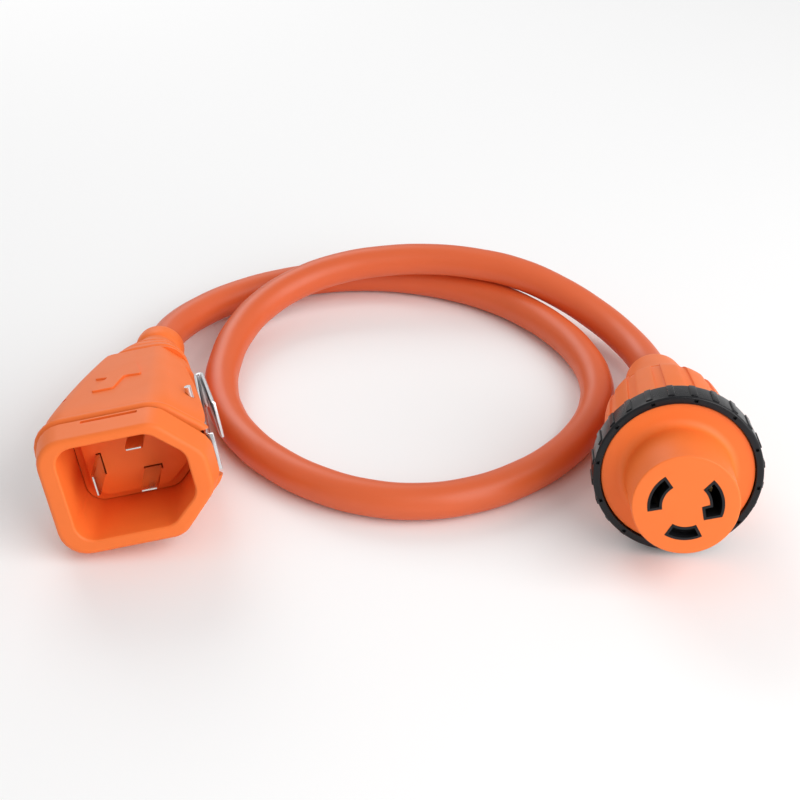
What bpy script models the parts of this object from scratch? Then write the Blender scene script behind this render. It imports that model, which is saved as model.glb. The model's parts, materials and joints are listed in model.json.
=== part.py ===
"""Short shore power adapter cord: a shrouded three-blade plug, a locking socket and the cord between."""
import bpy
import bmesh
from math import ceil, cos, degrees, pi, radians, sin, tan
from mathutils import Matrix, Vector

MM = 0.001
GAP = 0.3             # clearance between pieces that touch
MERGE = 0.00001

# ---- cord
CORD_DIAMETER = 16.3
CORD_CORE_DIAMETER = 4.6
CORD_CORE_OFFSET = 4.3        # cores sit this far from the cord's middle
CORD_STEP = 15.0              # spacing of the tube's points
CORD_LEAD = 5.0               # straight length at each boot
CORD_BORE = CORD_DIAMETER + 2 * GAP

# ---- where the two connectors lie (middle of each mouth plane on the ground plan)
PLUG_X = -111.32
PLUG_Y = -61.05
PLUG_YAW = 3.3
PLUG_TILT = 9.1
PLUG_ROLL = 10.5
SOCKET_X = 115.88
SOCKET_Y = -54.45
SOCKET_YAW = -3.1
SOCKET_TILT = 11.3

# ---- plug shroud: widths are measured from the middle of the mouth
MOUTH_HALF_WIDTH = 26.3
MOUTH_HALF_HEIGHT = 21.5
MOUTH_DEPTH = 31.0
MOUTH_CHAMFER_X = 13.5        # the two corners on the right are cut from here
MOUTH_CHAMFER_Z = 9.5         # down to here
COLLAR_LEFT = 34.6
COLLAR_RIGHT = 34.7
COLLAR_HALF_HEIGHT = 27.2
COLLAR_LENGTH = 13.4
COLLAR_DRAFT = 1.4            # the collar grows this much from rim to seam
RIM_BEVEL = 2.2
SPIGOT_WALL = 1.8
SEAM_WIDTH = 2.4
GASKET_INSET = 1.3
KEY_SLOT_WIDTH = 24.0
KEY_SLOT_X = -2.2
KEY_SLOT_LENGTH = 2.6
KEY_SLOT_DEPTH = 1.4

# ---- plug housing
LIP_PROUD = 1.4               # the housing's front lip stands out past the collar
HOUSING_LENGTH = 86.0
HOUSING_WALL = 3.4
HOUSING_END_HALF_WIDTH = 20.8
HOUSING_END_HALF_HEIGHT = 18.4
BOOT_LENGTH = 46.0
BOOT_BEND = 5.0               # the boot's end is pulled to the right by the cord
BOOT_RING_RADIUS = CORD_DIAMETER / 2 + 3.75
BOOT_NECK_RADIUS = CORD_DIAMETER / 2 + 3.05
BOOT_RING_LENGTH = 11.0
BOOT_GROOVES = 4
BOOT_GROOVE_DEPTH = 1.0
BOOT_SQUARENESS = 1.2         # how square the boot's first section is; 0 is an ellipse

# ---- blades and their carrier
BLADE_WIDTH = 7.3
BLADE_GROUND_WIDTH = 9.8
BLADE_THICKNESS = 1.6
BLADE_REACH = 20.5            # from the carrier's face towards the mouth
BLADE_TAIL = 23.0             # from the carrier's face backwards
CARRIER_FLANGE_LENGTH = 5.0
SCREW_RADIUS = 1.6
SCREW_HEAD_RADIUS = 3.0
SCREW_HEAD_HEIGHT = 1.8
SCREW_REACH = 4.1

# ---- side latches
LATCH_SHEET = 1.3
LATCH_HALF_HEIGHT = 8.6
LATCH_FRONT_X = 34.0
LATCH_REAR_X = 25.2
LATCH_LENGTH = 66.0
LATCH_THUMB_X = 35.0
LATCH_THUMB_START = 31.0      # the thumb leaf ends this far behind the latch's front
LATCH_BEND_RADIUS = 1.6
LATCH_TRAVEL = 6.0            # degrees
POCKET_HALF_HEIGHT = 11.2
POCKET_FLOOR_GAP = 1.1
PIN_RADIUS = 1.5
PIN_INSET = 3.3               # pin axis lies this far inside the latch's leaf
PIN_BACK = 29.0               # behind the latch's front end
PIN_HALF_LENGTH = 19.5
KNUCKLE_WALL = 1.0
KNUCKLE_HALF_HEIGHT = 5.0
SPRING_RADIUS = 2.0
SPRING_WIRE = 0.35
SPRING_TURNS = 3
SPRING_BACK = 55.0

# ---- cord clamps
CLAMP_WIDTH = 31.0
CLAMP_LENGTH = 8.0
CLAMP_HEIGHT = 20.0
CLAMP_SCREW_X = 12.2
CLAMP_SETBACK = 4.0           # between the clamp and the end of its housing

# ---- socket
NOSE_RADIUS = 21.7
NOSE_DRAFT = 0.6
NOSE_LENGTH = 29.4            # from the flange's face to the nose's face
NOSE_FACE_THICKNESS = 3.5
NOSE_SLEEVE_LENGTH = 26.0
NOSE_SLEEVE_WALL = 3.0
NOSE_FILLET = 3.2
FLANGE_RADIUS = 31.8
FLANGE_THICKNESS = 3.0
FLANGE_RECESS = 1.2           # the flange's face lies this far behind the ring's rim
INSERT_RADIUS = 17.6
INSERT_LENGTH = 30.0
SLOT_INNER_RADIUS = 9.5
SLOT_OUTER_RADIUS = 15.4
SLOT_LINER_WALL = 1.1
SLOTS = (("left", 126.0, 192.0), ("right", -17.0, 49.0), ("ground", -120.0, -61.0))
HOOK_CORNERS = ((6.3, -0.3), (7.5, -6.2))     # the right slot turns inwards at its lower end
HOOK_TOP = 4.0
CONTACT_THICKNESS = 1.2
CONTACT_HALF_ANGLE = 20.0
CONTACT_SETBACK = 14.0
CONTACT_TAIL = 9.0

RING_RADIUS = 35.3
RING_WIDTH = 13.6
RING_RIB_HEIGHT = 0.6
RING_RIBS = 24
RING_SHOULDER = 2.5           # how far the ring reaches in behind the flange
RETAINER_WIDTH = 1.5
RETAINER_PROUD = 1.8
SOCKET_GRIP_LENGTH = 52.0     # from the back of the ring to the housing's end
SOCKET_GRIP_END_RADIUS = 22.8
SOCKET_FLUTES = 14
FLUTE_DEPTH = 0.9
FLUTE_WIDTH = 7.0             # degrees
SOCKET_WALL = 3.7
SOCKET_BOOT_LENGTH = 41.0
SOCKET_BOOT_END_RADIUS = 13.2

# ---- the cord's free run: hand-placed points between the two boots, on the ground plan
CORD_ROUTE = (
    (-113.1, 104.6, 11.7), (-100.8, 124.8, 10.4), (-84.3, 141.9, 9.1), (-64.3, 154.6, 8.4),
    (-41.8, 162.2, 8.2), (-18.2, 164.7, 8.2), (5.4, 162.0, 8.2), (28.0, 154.5, 8.2),
    (48.5, 142.5, 8.3), (66.1, 126.6, 8.3), (80.4, 107.6, 8.3), (90.5, 86.1, 8.3),
    (95.3, 62.9, 8.2), (93.2, 39.2, 8.2), (84.6, 17.1, 8.2), (70.9, -2.3, 8.2),
    (53.2, -18.1, 8.2), (32.3, -29.3, 8.2), (9.0, -34.0, 8.2), (-14.5, -31.1, 8.3),
    (-36.1, -21.4, 8.4), (-54.8, -6.7, 8.4), (-69.9, 11.6, 8.3), (-80.5, 32.9, 8.2),
    (-85.7, 56.0, 8.2), (-85.7, 79.8, 8.6), (-80.8, 102.9, 11.0), (-69.5, 123.4, 14.7),
    (-52.1, 139.0, 18.7), (-30.7, 148.5, 22.1), (-7.3, 152.3, 24.3), (16.4, 152.4, 25.2),
    (39.9, 148.5, 24.8), (62.2, 140.6, 23.2), (82.3, 128.4, 19.6), (99.4, 112.3, 15.8),
    (112.4, 92.6, 13.5), (120.1, 70.2, 13.8),
)

# ---- colours (base colour, roughness, metallic)
ORANGE = (0.87, 0.19, 0.035, 1.0), 0.45, 0.0
JACKET = (0.72, 0.12, 0.03, 1.0), 0.38, 0.0
BLACK = (0.016, 0.016, 0.02, 1.0), 0.35, 0.0
STEEL = (0.78, 0.78, 0.80, 1.0), 0.25, 1.0
NICKEL = (0.66, 0.64, 0.60, 1.0), 0.28, 1.0
BRASS = (0.78, 0.57, 0.26, 1.0), 0.3, 1.0
WIRE_COLOURS = ((0.03, 0.03, 0.03, 1.0), (0.85, 0.85, 0.83, 1.0), (0.05, 0.35, 0.12, 1.0))


# ---------------------------------------------------------------- helpers
def clear_scene():
    for item in list(bpy.data.objects):
        bpy.data.objects.remove(item, do_unlink=True)


def make_material(name, colour, roughness, metallic):
    material = bpy.data.materials.new(name)
    material.use_nodes = True
    shader = material.node_tree.nodes["Principled BSDF"]
    shader.inputs["Base Color"].default_value = colour
    shader.inputs["Roughness"].default_value = roughness
    shader.inputs["Metallic"].default_value = metallic
    return material


def add_object(name, bm, finish, frame, smooth=True):
    """Turn a bmesh in millimetres into a named object on a connector's frame."""
    bmesh.ops.recalc_face_normals(bm, faces=bm.faces)
    for vert in bm.verts:
        vert.co *= MM
    mesh = bpy.data.meshes.new(name)
    bm.to_mesh(mesh)
    bm.free()
    if smooth:
        mesh.shade_smooth()
        mesh.set_sharp_from_angle(angle=radians(35))
    mesh.materials.append(make_material(name + "_finish", *finish))
    item = bpy.data.objects.new(name, mesh)
    bpy.context.collection.objects.link(item)
    item.parent = frame
    return item


def boolean(target, cutter, operation="DIFFERENCE"):
    cutter.hide_render = True
    cutter.display_type = "WIRE"
    step = target.modifiers.new(cutter.name, "BOOLEAN")
    step.object = cutter
    step.operation = operation
    step.solver = "EXACT"


def loft(bm, sections, close_ends=True, closed_run=False):
    """Skin a run of equal-sized rings of points."""
    rings = [[bm.verts.new(point) for point in section] for section in sections]
    pairs = list(zip(rings, rings[1:]))
    if closed_run:
        pairs.append((rings[-1], rings[0]))
    for ring_a, ring_b in pairs:
        count = len(ring_a)
        for i in range(count):
            j = (i + 1) % count
            bm.faces.new((ring_a[i], ring_a[j], ring_b[j], ring_b[i]))
    if close_ends and not closed_run:
        bm.faces.new(list(reversed(rings[0])))
        bm.faces.new(rings[-1])


def rounded_polygon(corners, steps):
    """Points round a polygon whose corners are (x, z, radius), with equal counts for equal inputs."""
    points = []
    count = len(corners)
    for i in range(count):
        here = Vector(corners[i][:2])
        before = (Vector(corners[i - 1][:2]) - here).normalized()
        after = (Vector(corners[(i + 1) % count][:2]) - here).normalized()
        half = before.angle(after) / 2
        radius = corners[i][2]
        middle = here + (before + after).normalized() * (radius / sin(half))
        start = here + before * (radius / tan(half)) - middle
        end = here + after * (radius / tan(half)) - middle
        turn = start.angle(end)
        for k in range(steps + 1):
            t = k / steps
            blend = (start * sin((1 - t) * turn) + end * sin(t * turn)) / sin(turn)
            points.append(middle + blend)
    return points


def d_outline(left, right, half_height, chamfer_x, chamfer_z, corner, blunt, y, lift=0.0):
    """The connector's outline at y: square on the left, two cut corners on the right."""
    corners = ((-left, -half_height, corner), (chamfer_x, -half_height, blunt),
               (right, -chamfer_z, blunt), (right, chamfer_z, blunt),
               (chamfer_x, half_height, blunt), (-left, half_height, corner))
    return [Vector((p.x, y, p.y + lift)) for p in rounded_polygon(corners, 4)]


def turned(bm, profile, segments, radius_at=None):
    """Turn a closed profile of (radius, y) about the local Y axis; radius 0 makes a pole."""
    rings = []
    for index, (radius, y) in enumerate(profile):
        if radius == 0:
            rings.append([bm.verts.new((0, y, 0))])
            continue
        ring = []
        for k in range(segments):
            angle = 2 * pi * k / segments
            r = radius_at(index, radius, angle) if radius_at else radius
            ring.append(bm.verts.new((r * sin(angle), y, r * cos(angle))))
        rings.append(ring)
    hollow = all(len(ring) > 1 for ring in rings)
    pairs = list(zip(rings, rings[1:])) + ([(rings[-1], rings[0])] if hollow else [])
    for ring_a, ring_b in pairs:
        for k in range(segments):
            j = (k + 1) % segments
            quad = [ring_a[k % len(ring_a)], ring_a[j % len(ring_a)],
                    ring_b[j % len(ring_b)], ring_b[k % len(ring_b)]]
            corners = list(dict.fromkeys(quad))
            if len(corners) > 2:
                bm.faces.new(corners)


def block(bm, low, high):
    corners = [Vector((x, y, z)) for y in (low[1], high[1])
               for x, z in ((low[0], low[2]), (high[0], low[2]), (high[0], high[2]), (low[0], high[2]))]
    loft(bm, (corners[:4], corners[4:]))


def disc_rod(bm, start, end, radius, segments=16):
    """A round rod between two points."""
    axis = (Vector(end) - Vector(start)).normalized()
    turn = axis.to_track_quat("Z", "Y")
    circle = [turn @ Vector((radius * cos(2 * pi * k / segments), radius * sin(2 * pi * k / segments), 0))
              for k in range(segments)]
    loft(bm, ([Vector(start) + p for p in circle], [Vector(end) + p for p in circle]))


def arc_points(inner, outer, start, end, steps=8):
    """Outline (x, z) of a curved slot; angles in degrees, counter-clockwise from +X."""
    angles = spread(start, end, steps + 1)
    return ([Vector((outer * cos(a), outer * sin(a))) for a in angles]
            + [Vector((inner * cos(a), inner * sin(a))) for a in reversed(angles)])


def prism(bm, outline, y_start, y_end):
    loft(bm, ([Vector((p.x, y_start, p.y)) for p in outline],
              [Vector((p.x, y_end, p.y)) for p in outline]))


def tube(name, points, diameter, resolution, finish, frame):
    """A round cord or wire along a smooth run of points, as a curve with filled caps."""
    curve = bpy.data.curves.new(name, "CURVE")
    curve.dimensions = "3D"
    curve.bevel_depth = diameter / 2 * MM
    curve.bevel_resolution = resolution
    curve.use_fill_caps = True
    spline = curve.splines.new("POLY")
    spline.points.add(len(points) - 1)
    for target, point in zip(spline.points, points):
        target.co = (*(Vector(point) * MM), 1)
    spline.use_smooth = True
    curve.materials.append(make_material(name + "_finish", *finish))
    item = bpy.data.objects.new(name, curve)
    bpy.context.collection.objects.link(item)
    item.parent = frame
    return item


def smooth_run(points, spacing):
    """Evenly spaced points on a smooth curve through the given ones."""
    pts = [Vector(p) for p in points]
    ends = [2 * pts[0] - pts[1]] + pts + [2 * pts[-1] - pts[-2]]
    fine = []
    for i in range(1, len(ends) - 2):
        a, b, c, d = ends[i - 1:i + 3]
        for k in range(12):
            t = k / 12
            fine.append(0.5 * (2 * b + (c - a) * t + (2 * a - 5 * b + 4 * c - d) * t ** 2
                               + (3 * b - a - 3 * c + d) * t ** 3))
    fine.append(pts[-1])
    total = sum((q - p).length for p, q in zip(fine, fine[1:]))
    step = total / max(2, ceil(total / spacing))
    run = [fine[0]]
    walked = 0.0
    for p, q in zip(fine, fine[1:]):
        piece = (q - p).length
        while walked + piece >= step * len(run) - 1e-6 and step * len(run) < total - 1e-3:
            run.append(p.lerp(q, (step * len(run) - walked) / piece))
        walked += piece
    run.append(fine[-1])
    return run


def screw(name, head_at, direction, reach, frame, finish=STEEL):
    """A pan head screw: the head's underside is at head_at, the shank runs along direction."""
    bm = bmesh.new()
    profile = ((0, -SCREW_HEAD_HEIGHT), (SCREW_HEAD_RADIUS * 0.72, -SCREW_HEAD_HEIGHT),
               (SCREW_HEAD_RADIUS, -SCREW_HEAD_HEIGHT * 0.55), (SCREW_HEAD_RADIUS, 0),
               (SCREW_RADIUS, 0), (SCREW_RADIUS, reach - 0.6), (SCREW_RADIUS * 0.5, reach), (0, reach))
    turned(bm, profile, 14)
    turn = Vector(direction).normalized().to_track_quat("Y", "Z").to_matrix().to_4x4()
    bmesh.ops.transform(bm, matrix=Matrix.Translation(head_at) @ turn, verts=bm.verts)
    return add_object(name, bm, finish, frame)


def round_hole(target, name, start, end, radius, frame):
    bm = bmesh.new()
    disc_rod(bm, start, end, radius)
    boolean(target, add_object(name, bm, BLACK, frame, smooth=False))


# ---------------------------------------------------------------- plug
LIP_START = COLLAR_LENGTH + SEAM_WIDTH
HOUSING_END = LIP_START + HOUSING_LENGTH
CARRIER_BACK = MOUTH_DEPTH + 5.0 + GAP + CARRIER_FLANGE_LENGTH
SPIGOT_END = MOUTH_DEPTH + 5.0
BLADES = (("plug_blade_1", -15.6, -2.0, 90.0, BLADE_GROUND_WIDTH),
          ("plug_blade_2", 4.3, 11.4, 0.0, BLADE_WIDTH),
          ("plug_blade_3", 5.6, -8.4, 0.0, BLADE_WIDTH))
PIN_Y = LIP_START + 0.4 + PIN_BACK


def mouth_outline(y, grow=0.0):
    slope = grow * 0.45
    return d_outline(MOUTH_HALF_WIDTH + grow, MOUTH_HALF_WIDTH + grow, MOUTH_HALF_HEIGHT + grow,
                     MOUTH_CHAMFER_X + slope, MOUTH_CHAMFER_Z + slope, 8.0 + grow, 3.0 + grow, y)


def collar_outline(y, grow=0.0):
    return d_outline(COLLAR_LEFT + grow, COLLAR_RIGHT + grow, COLLAR_HALF_HEIGHT + grow,
                     COLLAR_RIGHT - 18.0 + grow * 0.45, COLLAR_HALF_HEIGHT - 18.6 + grow * 0.45,
                     13.0 + grow, 5.0 + grow, y, lift=-0.9)


def housing_outline(t, shrink=0.0):
    """Section of the housing at t, 0 at the front lip and 1 at the boot."""
    y = LIP_START + t * HOUSING_LENGTH
    ease = t ** 1.35
    front = COLLAR_DRAFT + LIP_PROUD
    left = (COLLAR_LEFT + front) * (1 - ease) + HOUSING_END_HALF_WIDTH * ease - shrink
    right = (COLLAR_RIGHT + front) * (1 - ease) + HOUSING_END_HALF_WIDTH * ease - shrink
    high = (COLLAR_HALF_HEIGHT + LIP_PROUD) * (1 - ease) + HOUSING_END_HALF_HEIGHT * ease - shrink
    fullness = min(1.0, t * 4)
    chamfer_x = right - (20.0 - 6.0 * fullness) * (right / 38.0)
    chamfer_z = high - (18.0 - 5.5 * fullness) * (high / 29.0)
    corner = min(high, left) * (0.5 + 0.16 * t)
    blunt = 6.0 + 4.0 * fullness - 2.0 * t
    return d_outline(left, right, high, chamfer_x, chamfer_z, corner, blunt, y, lift=-0.9 * (1 - t))


def boot_frame(distance):
    """Place on the boot's gently bent axis, with its heading."""
    bend = radians(BOOT_BEND)
    radius = BOOT_LENGTH / bend
    angle = distance / radius
    place = Vector((radius * (1 - cos(angle)), HOUSING_END + GAP + radius * sin(angle), 0))
    return Matrix.Translation(place) @ Matrix.Rotation(-angle, 4, "Z")


def build_plug_shroud(frame):
    bm = bmesh.new()
    outer = [collar_outline(0.0, -RIM_BEVEL), collar_outline(RIM_BEVEL * 0.35, -RIM_BEVEL * 0.3),
             collar_outline(RIM_BEVEL, 0.15), collar_outline(COLLAR_LENGTH, COLLAR_DRAFT),
             mouth_outline(COLLAR_LENGTH, SPIGOT_WALL), mouth_outline(SPIGOT_END, SPIGOT_WALL)]
    inner = [mouth_outline(SPIGOT_END), mouth_outline(1.5), mouth_outline(0.0, 0.9)]
    loft(bm, outer + inner, closed_run=True)
    shroud = add_object("plug_shroud", bm, ORANGE, frame)
    cut = bmesh.new()
    top = COLLAR_HALF_HEIGHT - 0.9
    block(cut, (KEY_SLOT_X - KEY_SLOT_WIDTH / 2, COLLAR_LENGTH - KEY_SLOT_LENGTH, top - KEY_SLOT_DEPTH),
          (KEY_SLOT_X + KEY_SLOT_WIDTH / 2, COLLAR_LENGTH + 1, top + 6))
    boolean(shroud, add_object("key_slot_cut", cut, BLACK, frame, smooth=False))


def build_plug_gasket(frame):
    bm = bmesh.new()
    front, back = COLLAR_LENGTH + GAP, LIP_START - GAP
    inset = COLLAR_DRAFT - GASKET_INSET
    loft(bm, (collar_outline(front, inset), collar_outline(back, inset),
              mouth_outline(back, SPIGOT_WALL + GAP), mouth_outline(front, SPIGOT_WALL + GAP)),
         closed_run=True)
    add_object("plug_gasket", bm, BLACK, frame)


def latch_line(side):
    """Middle line of the folded latch sheet on the plan, front catch first."""
    front = LIP_START + 0.4
    rear = front + LATCH_LENGTH
    lean = (LATCH_FRONT_X - LATCH_REAR_X) / LATCH_LENGTH
    bend = LATCH_BEND_RADIUS
    points = [(LATCH_FRONT_X + 3.0, front + 0.9), (LATCH_FRONT_X + 0.4, front + 0.7),
              (LATCH_FRONT_X - lean * 2.0, front + 2.0), (LATCH_REAR_X, rear)]
    for k in range(1, 7):
        angle = pi - k * pi / 6 + 0.12
        points.append((LATCH_REAR_X + bend + bend * cos(angle), rear + bend * sin(angle)))
    points += [(LATCH_THUMB_X, front + LATCH_THUMB_START + 2.0), (LATCH_THUMB_X + 0.9, front + LATCH_THUMB_START)]
    return [Vector((side * x, y)) for x, y in points]


def sheet_outline(line, thickness):
    """Both sides of a bent sheet, offset from its middle line."""
    left, right = [], []
    for i, point in enumerate(line):
        before = (point - line[i - 1]).normalized() if i else (line[1] - point).normalized()
        after = (line[i + 1] - point).normalized() if i < len(line) - 1 else before
        run = (before + after).normalized()
        widen = 1 / max(0.5, run.dot(before))
        normal = Vector((-run.y, run.x)) * (thickness / 2 * widen)
        left.append(point + normal)
        right.append(point - normal)
    return left + right[::-1]


def pin_place(side):
    lean = (LATCH_FRONT_X - LATCH_REAR_X) / LATCH_LENGTH
    return side * (LATCH_FRONT_X - lean * PIN_BACK - PIN_INSET), PIN_Y


def upright_prism(bm, outline, low, high):
    loft(bm, ([Vector((p.x, p.y, low)) for p in outline], [Vector((p.x, p.y, high)) for p in outline]))


def pocket_outline(side):
    front = LIP_START - 2.0
    rear = LIP_START + 0.4 + LATCH_LENGTH
    floor_front = LATCH_FRONT_X - LATCH_SHEET / 2 - POCKET_FLOOR_GAP
    swing = tan(radians(LATCH_TRAVEL)) * (LATCH_LENGTH - PIN_BACK)
    floor_rear = LATCH_REAR_X - LATCH_SHEET / 2 - swing - 1.2
    pin_x = abs(pin_place(side)[0])
    knuckle = PIN_RADIUS + GAP + KNUCKLE_WALL + 0.6
    lean = (LATCH_FRONT_X - LATCH_REAR_X) / LATCH_LENGTH
    floor_mid = floor_front - lean * (PIN_BACK - knuckle - 3) - 0.3
    points = ((60, front), (60, rear + 12), (floor_rear + 5, rear + 9), (floor_rear, rear + 5),
              (pin_x - knuckle, PIN_Y + knuckle + 2), (pin_x - knuckle, PIN_Y - knuckle),
              (floor_mid, PIN_Y - knuckle - 3), (floor_front, front))
    return [Vector((side * x, y)) for x, y in points]


def build_plug_housing(frame):
    bm = bmesh.new()
    outer = [housing_outline(0.0, 1.0), housing_outline(0.012, 0.2)]
    outer += [housing_outline(t) for t in (0.04, 0.14, 0.26, 0.4, 0.54, 0.68, 0.82, 0.92, 1.0)]
    room = SPIGOT_WALL + GAP
    back_room = CARRIER_BACK + GAP
    narrow_start = 19.0
    inner = []
    for k in range(5):
        t = k / 4
        y = HOUSING_END - t * (HOUSING_END - back_room - 1.0)
        half_wide = (HOUSING_END_HALF_WIDTH - HOUSING_WALL) * (1 - t) + narrow_start * t
        half_high = (HOUSING_END_HALF_HEIGHT - HOUSING_WALL) * (1 - t) + 18.5 * t
        inner.append(d_outline(half_wide, half_wide, half_high, half_wide - 6, half_high - 5, 7.0, 4.0, y))
    inner += [mouth_outline(back_room, room), mouth_outline(LIP_START, room)]
    loft(bm, outer + inner, closed_run=True)
    housing = add_object("plug_housing", bm, ORANGE, frame)
    for side, word in ((1, "right"), (-1, "left")):
        cut = bmesh.new()
        upright_prism(cut, pocket_outline(side), -POCKET_HALF_HEIGHT, POCKET_HALF_HEIGHT)
        boolean(housing, add_object("pocket_cut_" + word, cut, BLACK, frame, smooth=False))
        x, y = pin_place(side)
        round_hole(housing, "pin_bore_" + word, (x, y, -60), (x, y, 60), PIN_RADIUS + GAP, frame)


def build_plug_insert(frame):
    bm = bmesh.new()
    loft(bm, (mouth_outline(MOUTH_DEPTH, -GAP), mouth_outline(SPIGOT_END + GAP, -GAP),
              mouth_outline(SPIGOT_END + GAP, SPIGOT_WALL - GAP), mouth_outline(CARRIER_BACK, SPIGOT_WALL - GAP)))
    insert = add_object("plug_insert", bm, ORANGE, frame)
    for name, x, z, turn, width in BLADES:
        cut = bmesh.new()
        blade_block(cut, x, z, turn, width + 2 * GAP, BLADE_THICKNESS + 2 * GAP, MOUTH_DEPTH - 2, CARRIER_BACK + 2)
        boolean(insert, add_object(name + "_slot_cut", cut, BLACK, frame, smooth=False))


def blade_block(bm, x, z, turn, width, thickness, y_start, y_end, tip=0.0):
    """A flat blade on edge or on its side, with an optional tapered tip."""
    half_w, half_t = width / 2, thickness / 2
    square = ((-half_w, -half_t), (half_w, -half_t), (half_w, half_t), (-half_w, half_t))
    spin = Matrix.Rotation(radians(turn), 2)
    stations = ((y_start, 0.62), (y_start + tip, 1.0), (y_end, 1.0)) if tip else ((y_start, 1.0), (y_end, 1.0))
    sections = []
    for y, scale in stations:
        ring = [spin @ Vector((a * (1 if scale == 1 else 0.9), b * scale)) for a, b in square]
        sections.append([Vector((x + p.x, y, z + p.y)) for p in ring])
    loft(bm, sections)


def terminal_screw_place(x, z, turn):
    """Head seat and direction of a blade's terminal screw, through the blade's tail."""
    normal = Vector((-sin(radians(turn)), 0, cos(radians(turn))))
    if turn:
        normal = -normal
    y = MOUTH_DEPTH + BLADE_TAIL - 5.5
    seat = Vector((x, y, z)) + normal * (BLADE_THICKNESS / 2 + GAP)
    return seat, -normal


def build_blades(frame):
    for number, (name, x, z, turn, width) in enumerate(BLADES, 1):
        bm = bmesh.new()
        blade_block(bm, x, z, turn, width, BLADE_THICKNESS, MOUTH_DEPTH - BLADE_REACH,
                    MOUTH_DEPTH + BLADE_TAIL, tip=1.6)
        blade = add_object(name, bm, NICKEL, frame, smooth=False)
        seat, direction = terminal_screw_place(x, z, turn)
        round_hole(blade, name + "_screw_hole", seat - direction * 3, seat + direction * 6,
                   SCREW_RADIUS + GAP, frame)
        screw("plug_terminal_screw_%d" % number, seat, direction, SCREW_REACH, frame)


def build_latch(side, word, frame):
    x, y = pin_place(side)
    pivot = bpy.data.objects.new("latch_%s_pivot" % word, None)
    bpy.context.collection.objects.link(pivot)
    pivot.parent = frame
    pivot.location = Vector((x, y, 0)) * MM
    shift = Vector((x, y))

    bm = bmesh.new()
    outline = [p - shift for p in sheet_outline(latch_line(side), LATCH_SHEET)]
    upright_prism(bm, outline, -LATCH_HALF_HEIGHT, LATCH_HALF_HEIGHT)
    latch = add_object("latch_" + word, bm, STEEL, pivot, smooth=False)

    knuckle = bmesh.new()
    outer = PIN_RADIUS + GAP + KNUCKLE_WALL
    disc_rod(knuckle, (0, 0, -KNUCKLE_HALF_HEIGHT), (0, 0, KNUCKLE_HALF_HEIGHT), outer, 20)
    boolean(latch, add_object("knuckle_%s_add" % word, knuckle, STEEL, pivot, smooth=False), "UNION")
    web = bmesh.new()
    reach = PIN_INSET + 0.2
    block(web, (min(0, side * reach), -outer * 0.75, -KNUCKLE_HALF_HEIGHT),
          (max(0, side * reach), outer * 0.75, KNUCKLE_HALF_HEIGHT))
    boolean(latch, add_object("knuckle_%s_web" % word, web, STEEL, pivot, smooth=False), "UNION")
    round_hole(latch, "knuckle_%s_bore" % word, (0, 0, -20), (0, 0, 20), PIN_RADIUS + GAP, pivot)

    pin = bmesh.new()
    disc_rod(pin, (0, 0, -PIN_HALF_LENGTH), (0, 0, PIN_HALF_LENGTH), PIN_RADIUS)
    pin_object = add_object("latch_pin_" + word, pin, STEEL, frame)
    pin_object.location = Vector((x, y, 0)) * MM
    build_latch_spring(side, word, frame)


def build_latch_spring(side, word, frame):
    """A small coil spring between the pocket's floor and the latch's rear end."""
    lean = (LATCH_FRONT_X - LATCH_REAR_X) / LATCH_LENGTH
    y = LIP_START + 0.4 + SPRING_BACK
    outer_end = LATCH_FRONT_X - lean * SPRING_BACK - LATCH_SHEET / 2 - GAP - SPRING_WIRE - 0.2
    outline = pocket_outline(1)
    deep, near = outline[3], outline[4]
    share = (y - near.y) / (deep.y - near.y)
    inner_end = near.x + (deep.x - near.x) * share + GAP + SPRING_WIRE + 0.25
    count = SPRING_TURNS * 8
    points = []
    for k in range(count + 1):
        angle = 2 * pi * SPRING_TURNS * k / count
        x = inner_end + (outer_end - inner_end) * k / count
        points.append((side * x, y + SPRING_RADIUS * cos(angle), SPRING_RADIUS * sin(angle)))
    tube("latch_spring_" + word, points, 2 * SPRING_WIRE, 1, STEEL, frame)


def build_clamp(prefix, y, frame):
    """Saddle that grips the cord's jacket, with its two screws."""
    bm = bmesh.new()
    half = CLAMP_WIDTH / 2, CLAMP_HEIGHT / 2
    corners = [(sx * half[0], sz * half[1], 3.0) for sx, sz in ((-1, -1), (1, -1), (1, 1), (-1, 1))]
    outline = rounded_polygon(corners, 3)
    prism(bm, outline, y, y + CLAMP_LENGTH)
    clamp = add_object(prefix + "_cord_clamp", bm, BLACK, frame)
    round_hole(clamp, prefix + "_clamp_bore", (0, y - 1, 0), (0, y + CLAMP_LENGTH + 1, 0), CORD_BORE / 2, frame)
    for number, sign in enumerate((-1, 1), 1):
        x, mid = sign * CLAMP_SCREW_X, y + CLAMP_LENGTH / 2
        round_hole(clamp, "%s_clamp_hole_%d" % (prefix, number), (x, mid, -20), (x, mid, 20),
                   SCREW_RADIUS + GAP, frame)
        screw("%s_clamp_screw_%d" % (prefix, number), Vector((x, mid, half[1] + GAP)), (0, 0, -1),
              CLAMP_HEIGHT - 2, frame)


def boot_section(distance, half_wide, half_high, squareness=0.0, segments=26):
    """An ellipse across the boot's axis, with its corners filled out by squareness."""
    place = boot_frame(distance)
    points = []
    for k in range(segments):
        c, s = cos(2 * pi * k / segments), sin(2 * pi * k / segments)
        fill = (abs(c) ** (2 + squareness) + abs(s) ** (2 + squareness)) ** (-1 / (2 + squareness))
        points.append(place @ Vector((half_wide * fill * c, 0, half_high * fill * s)))
    return points


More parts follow.
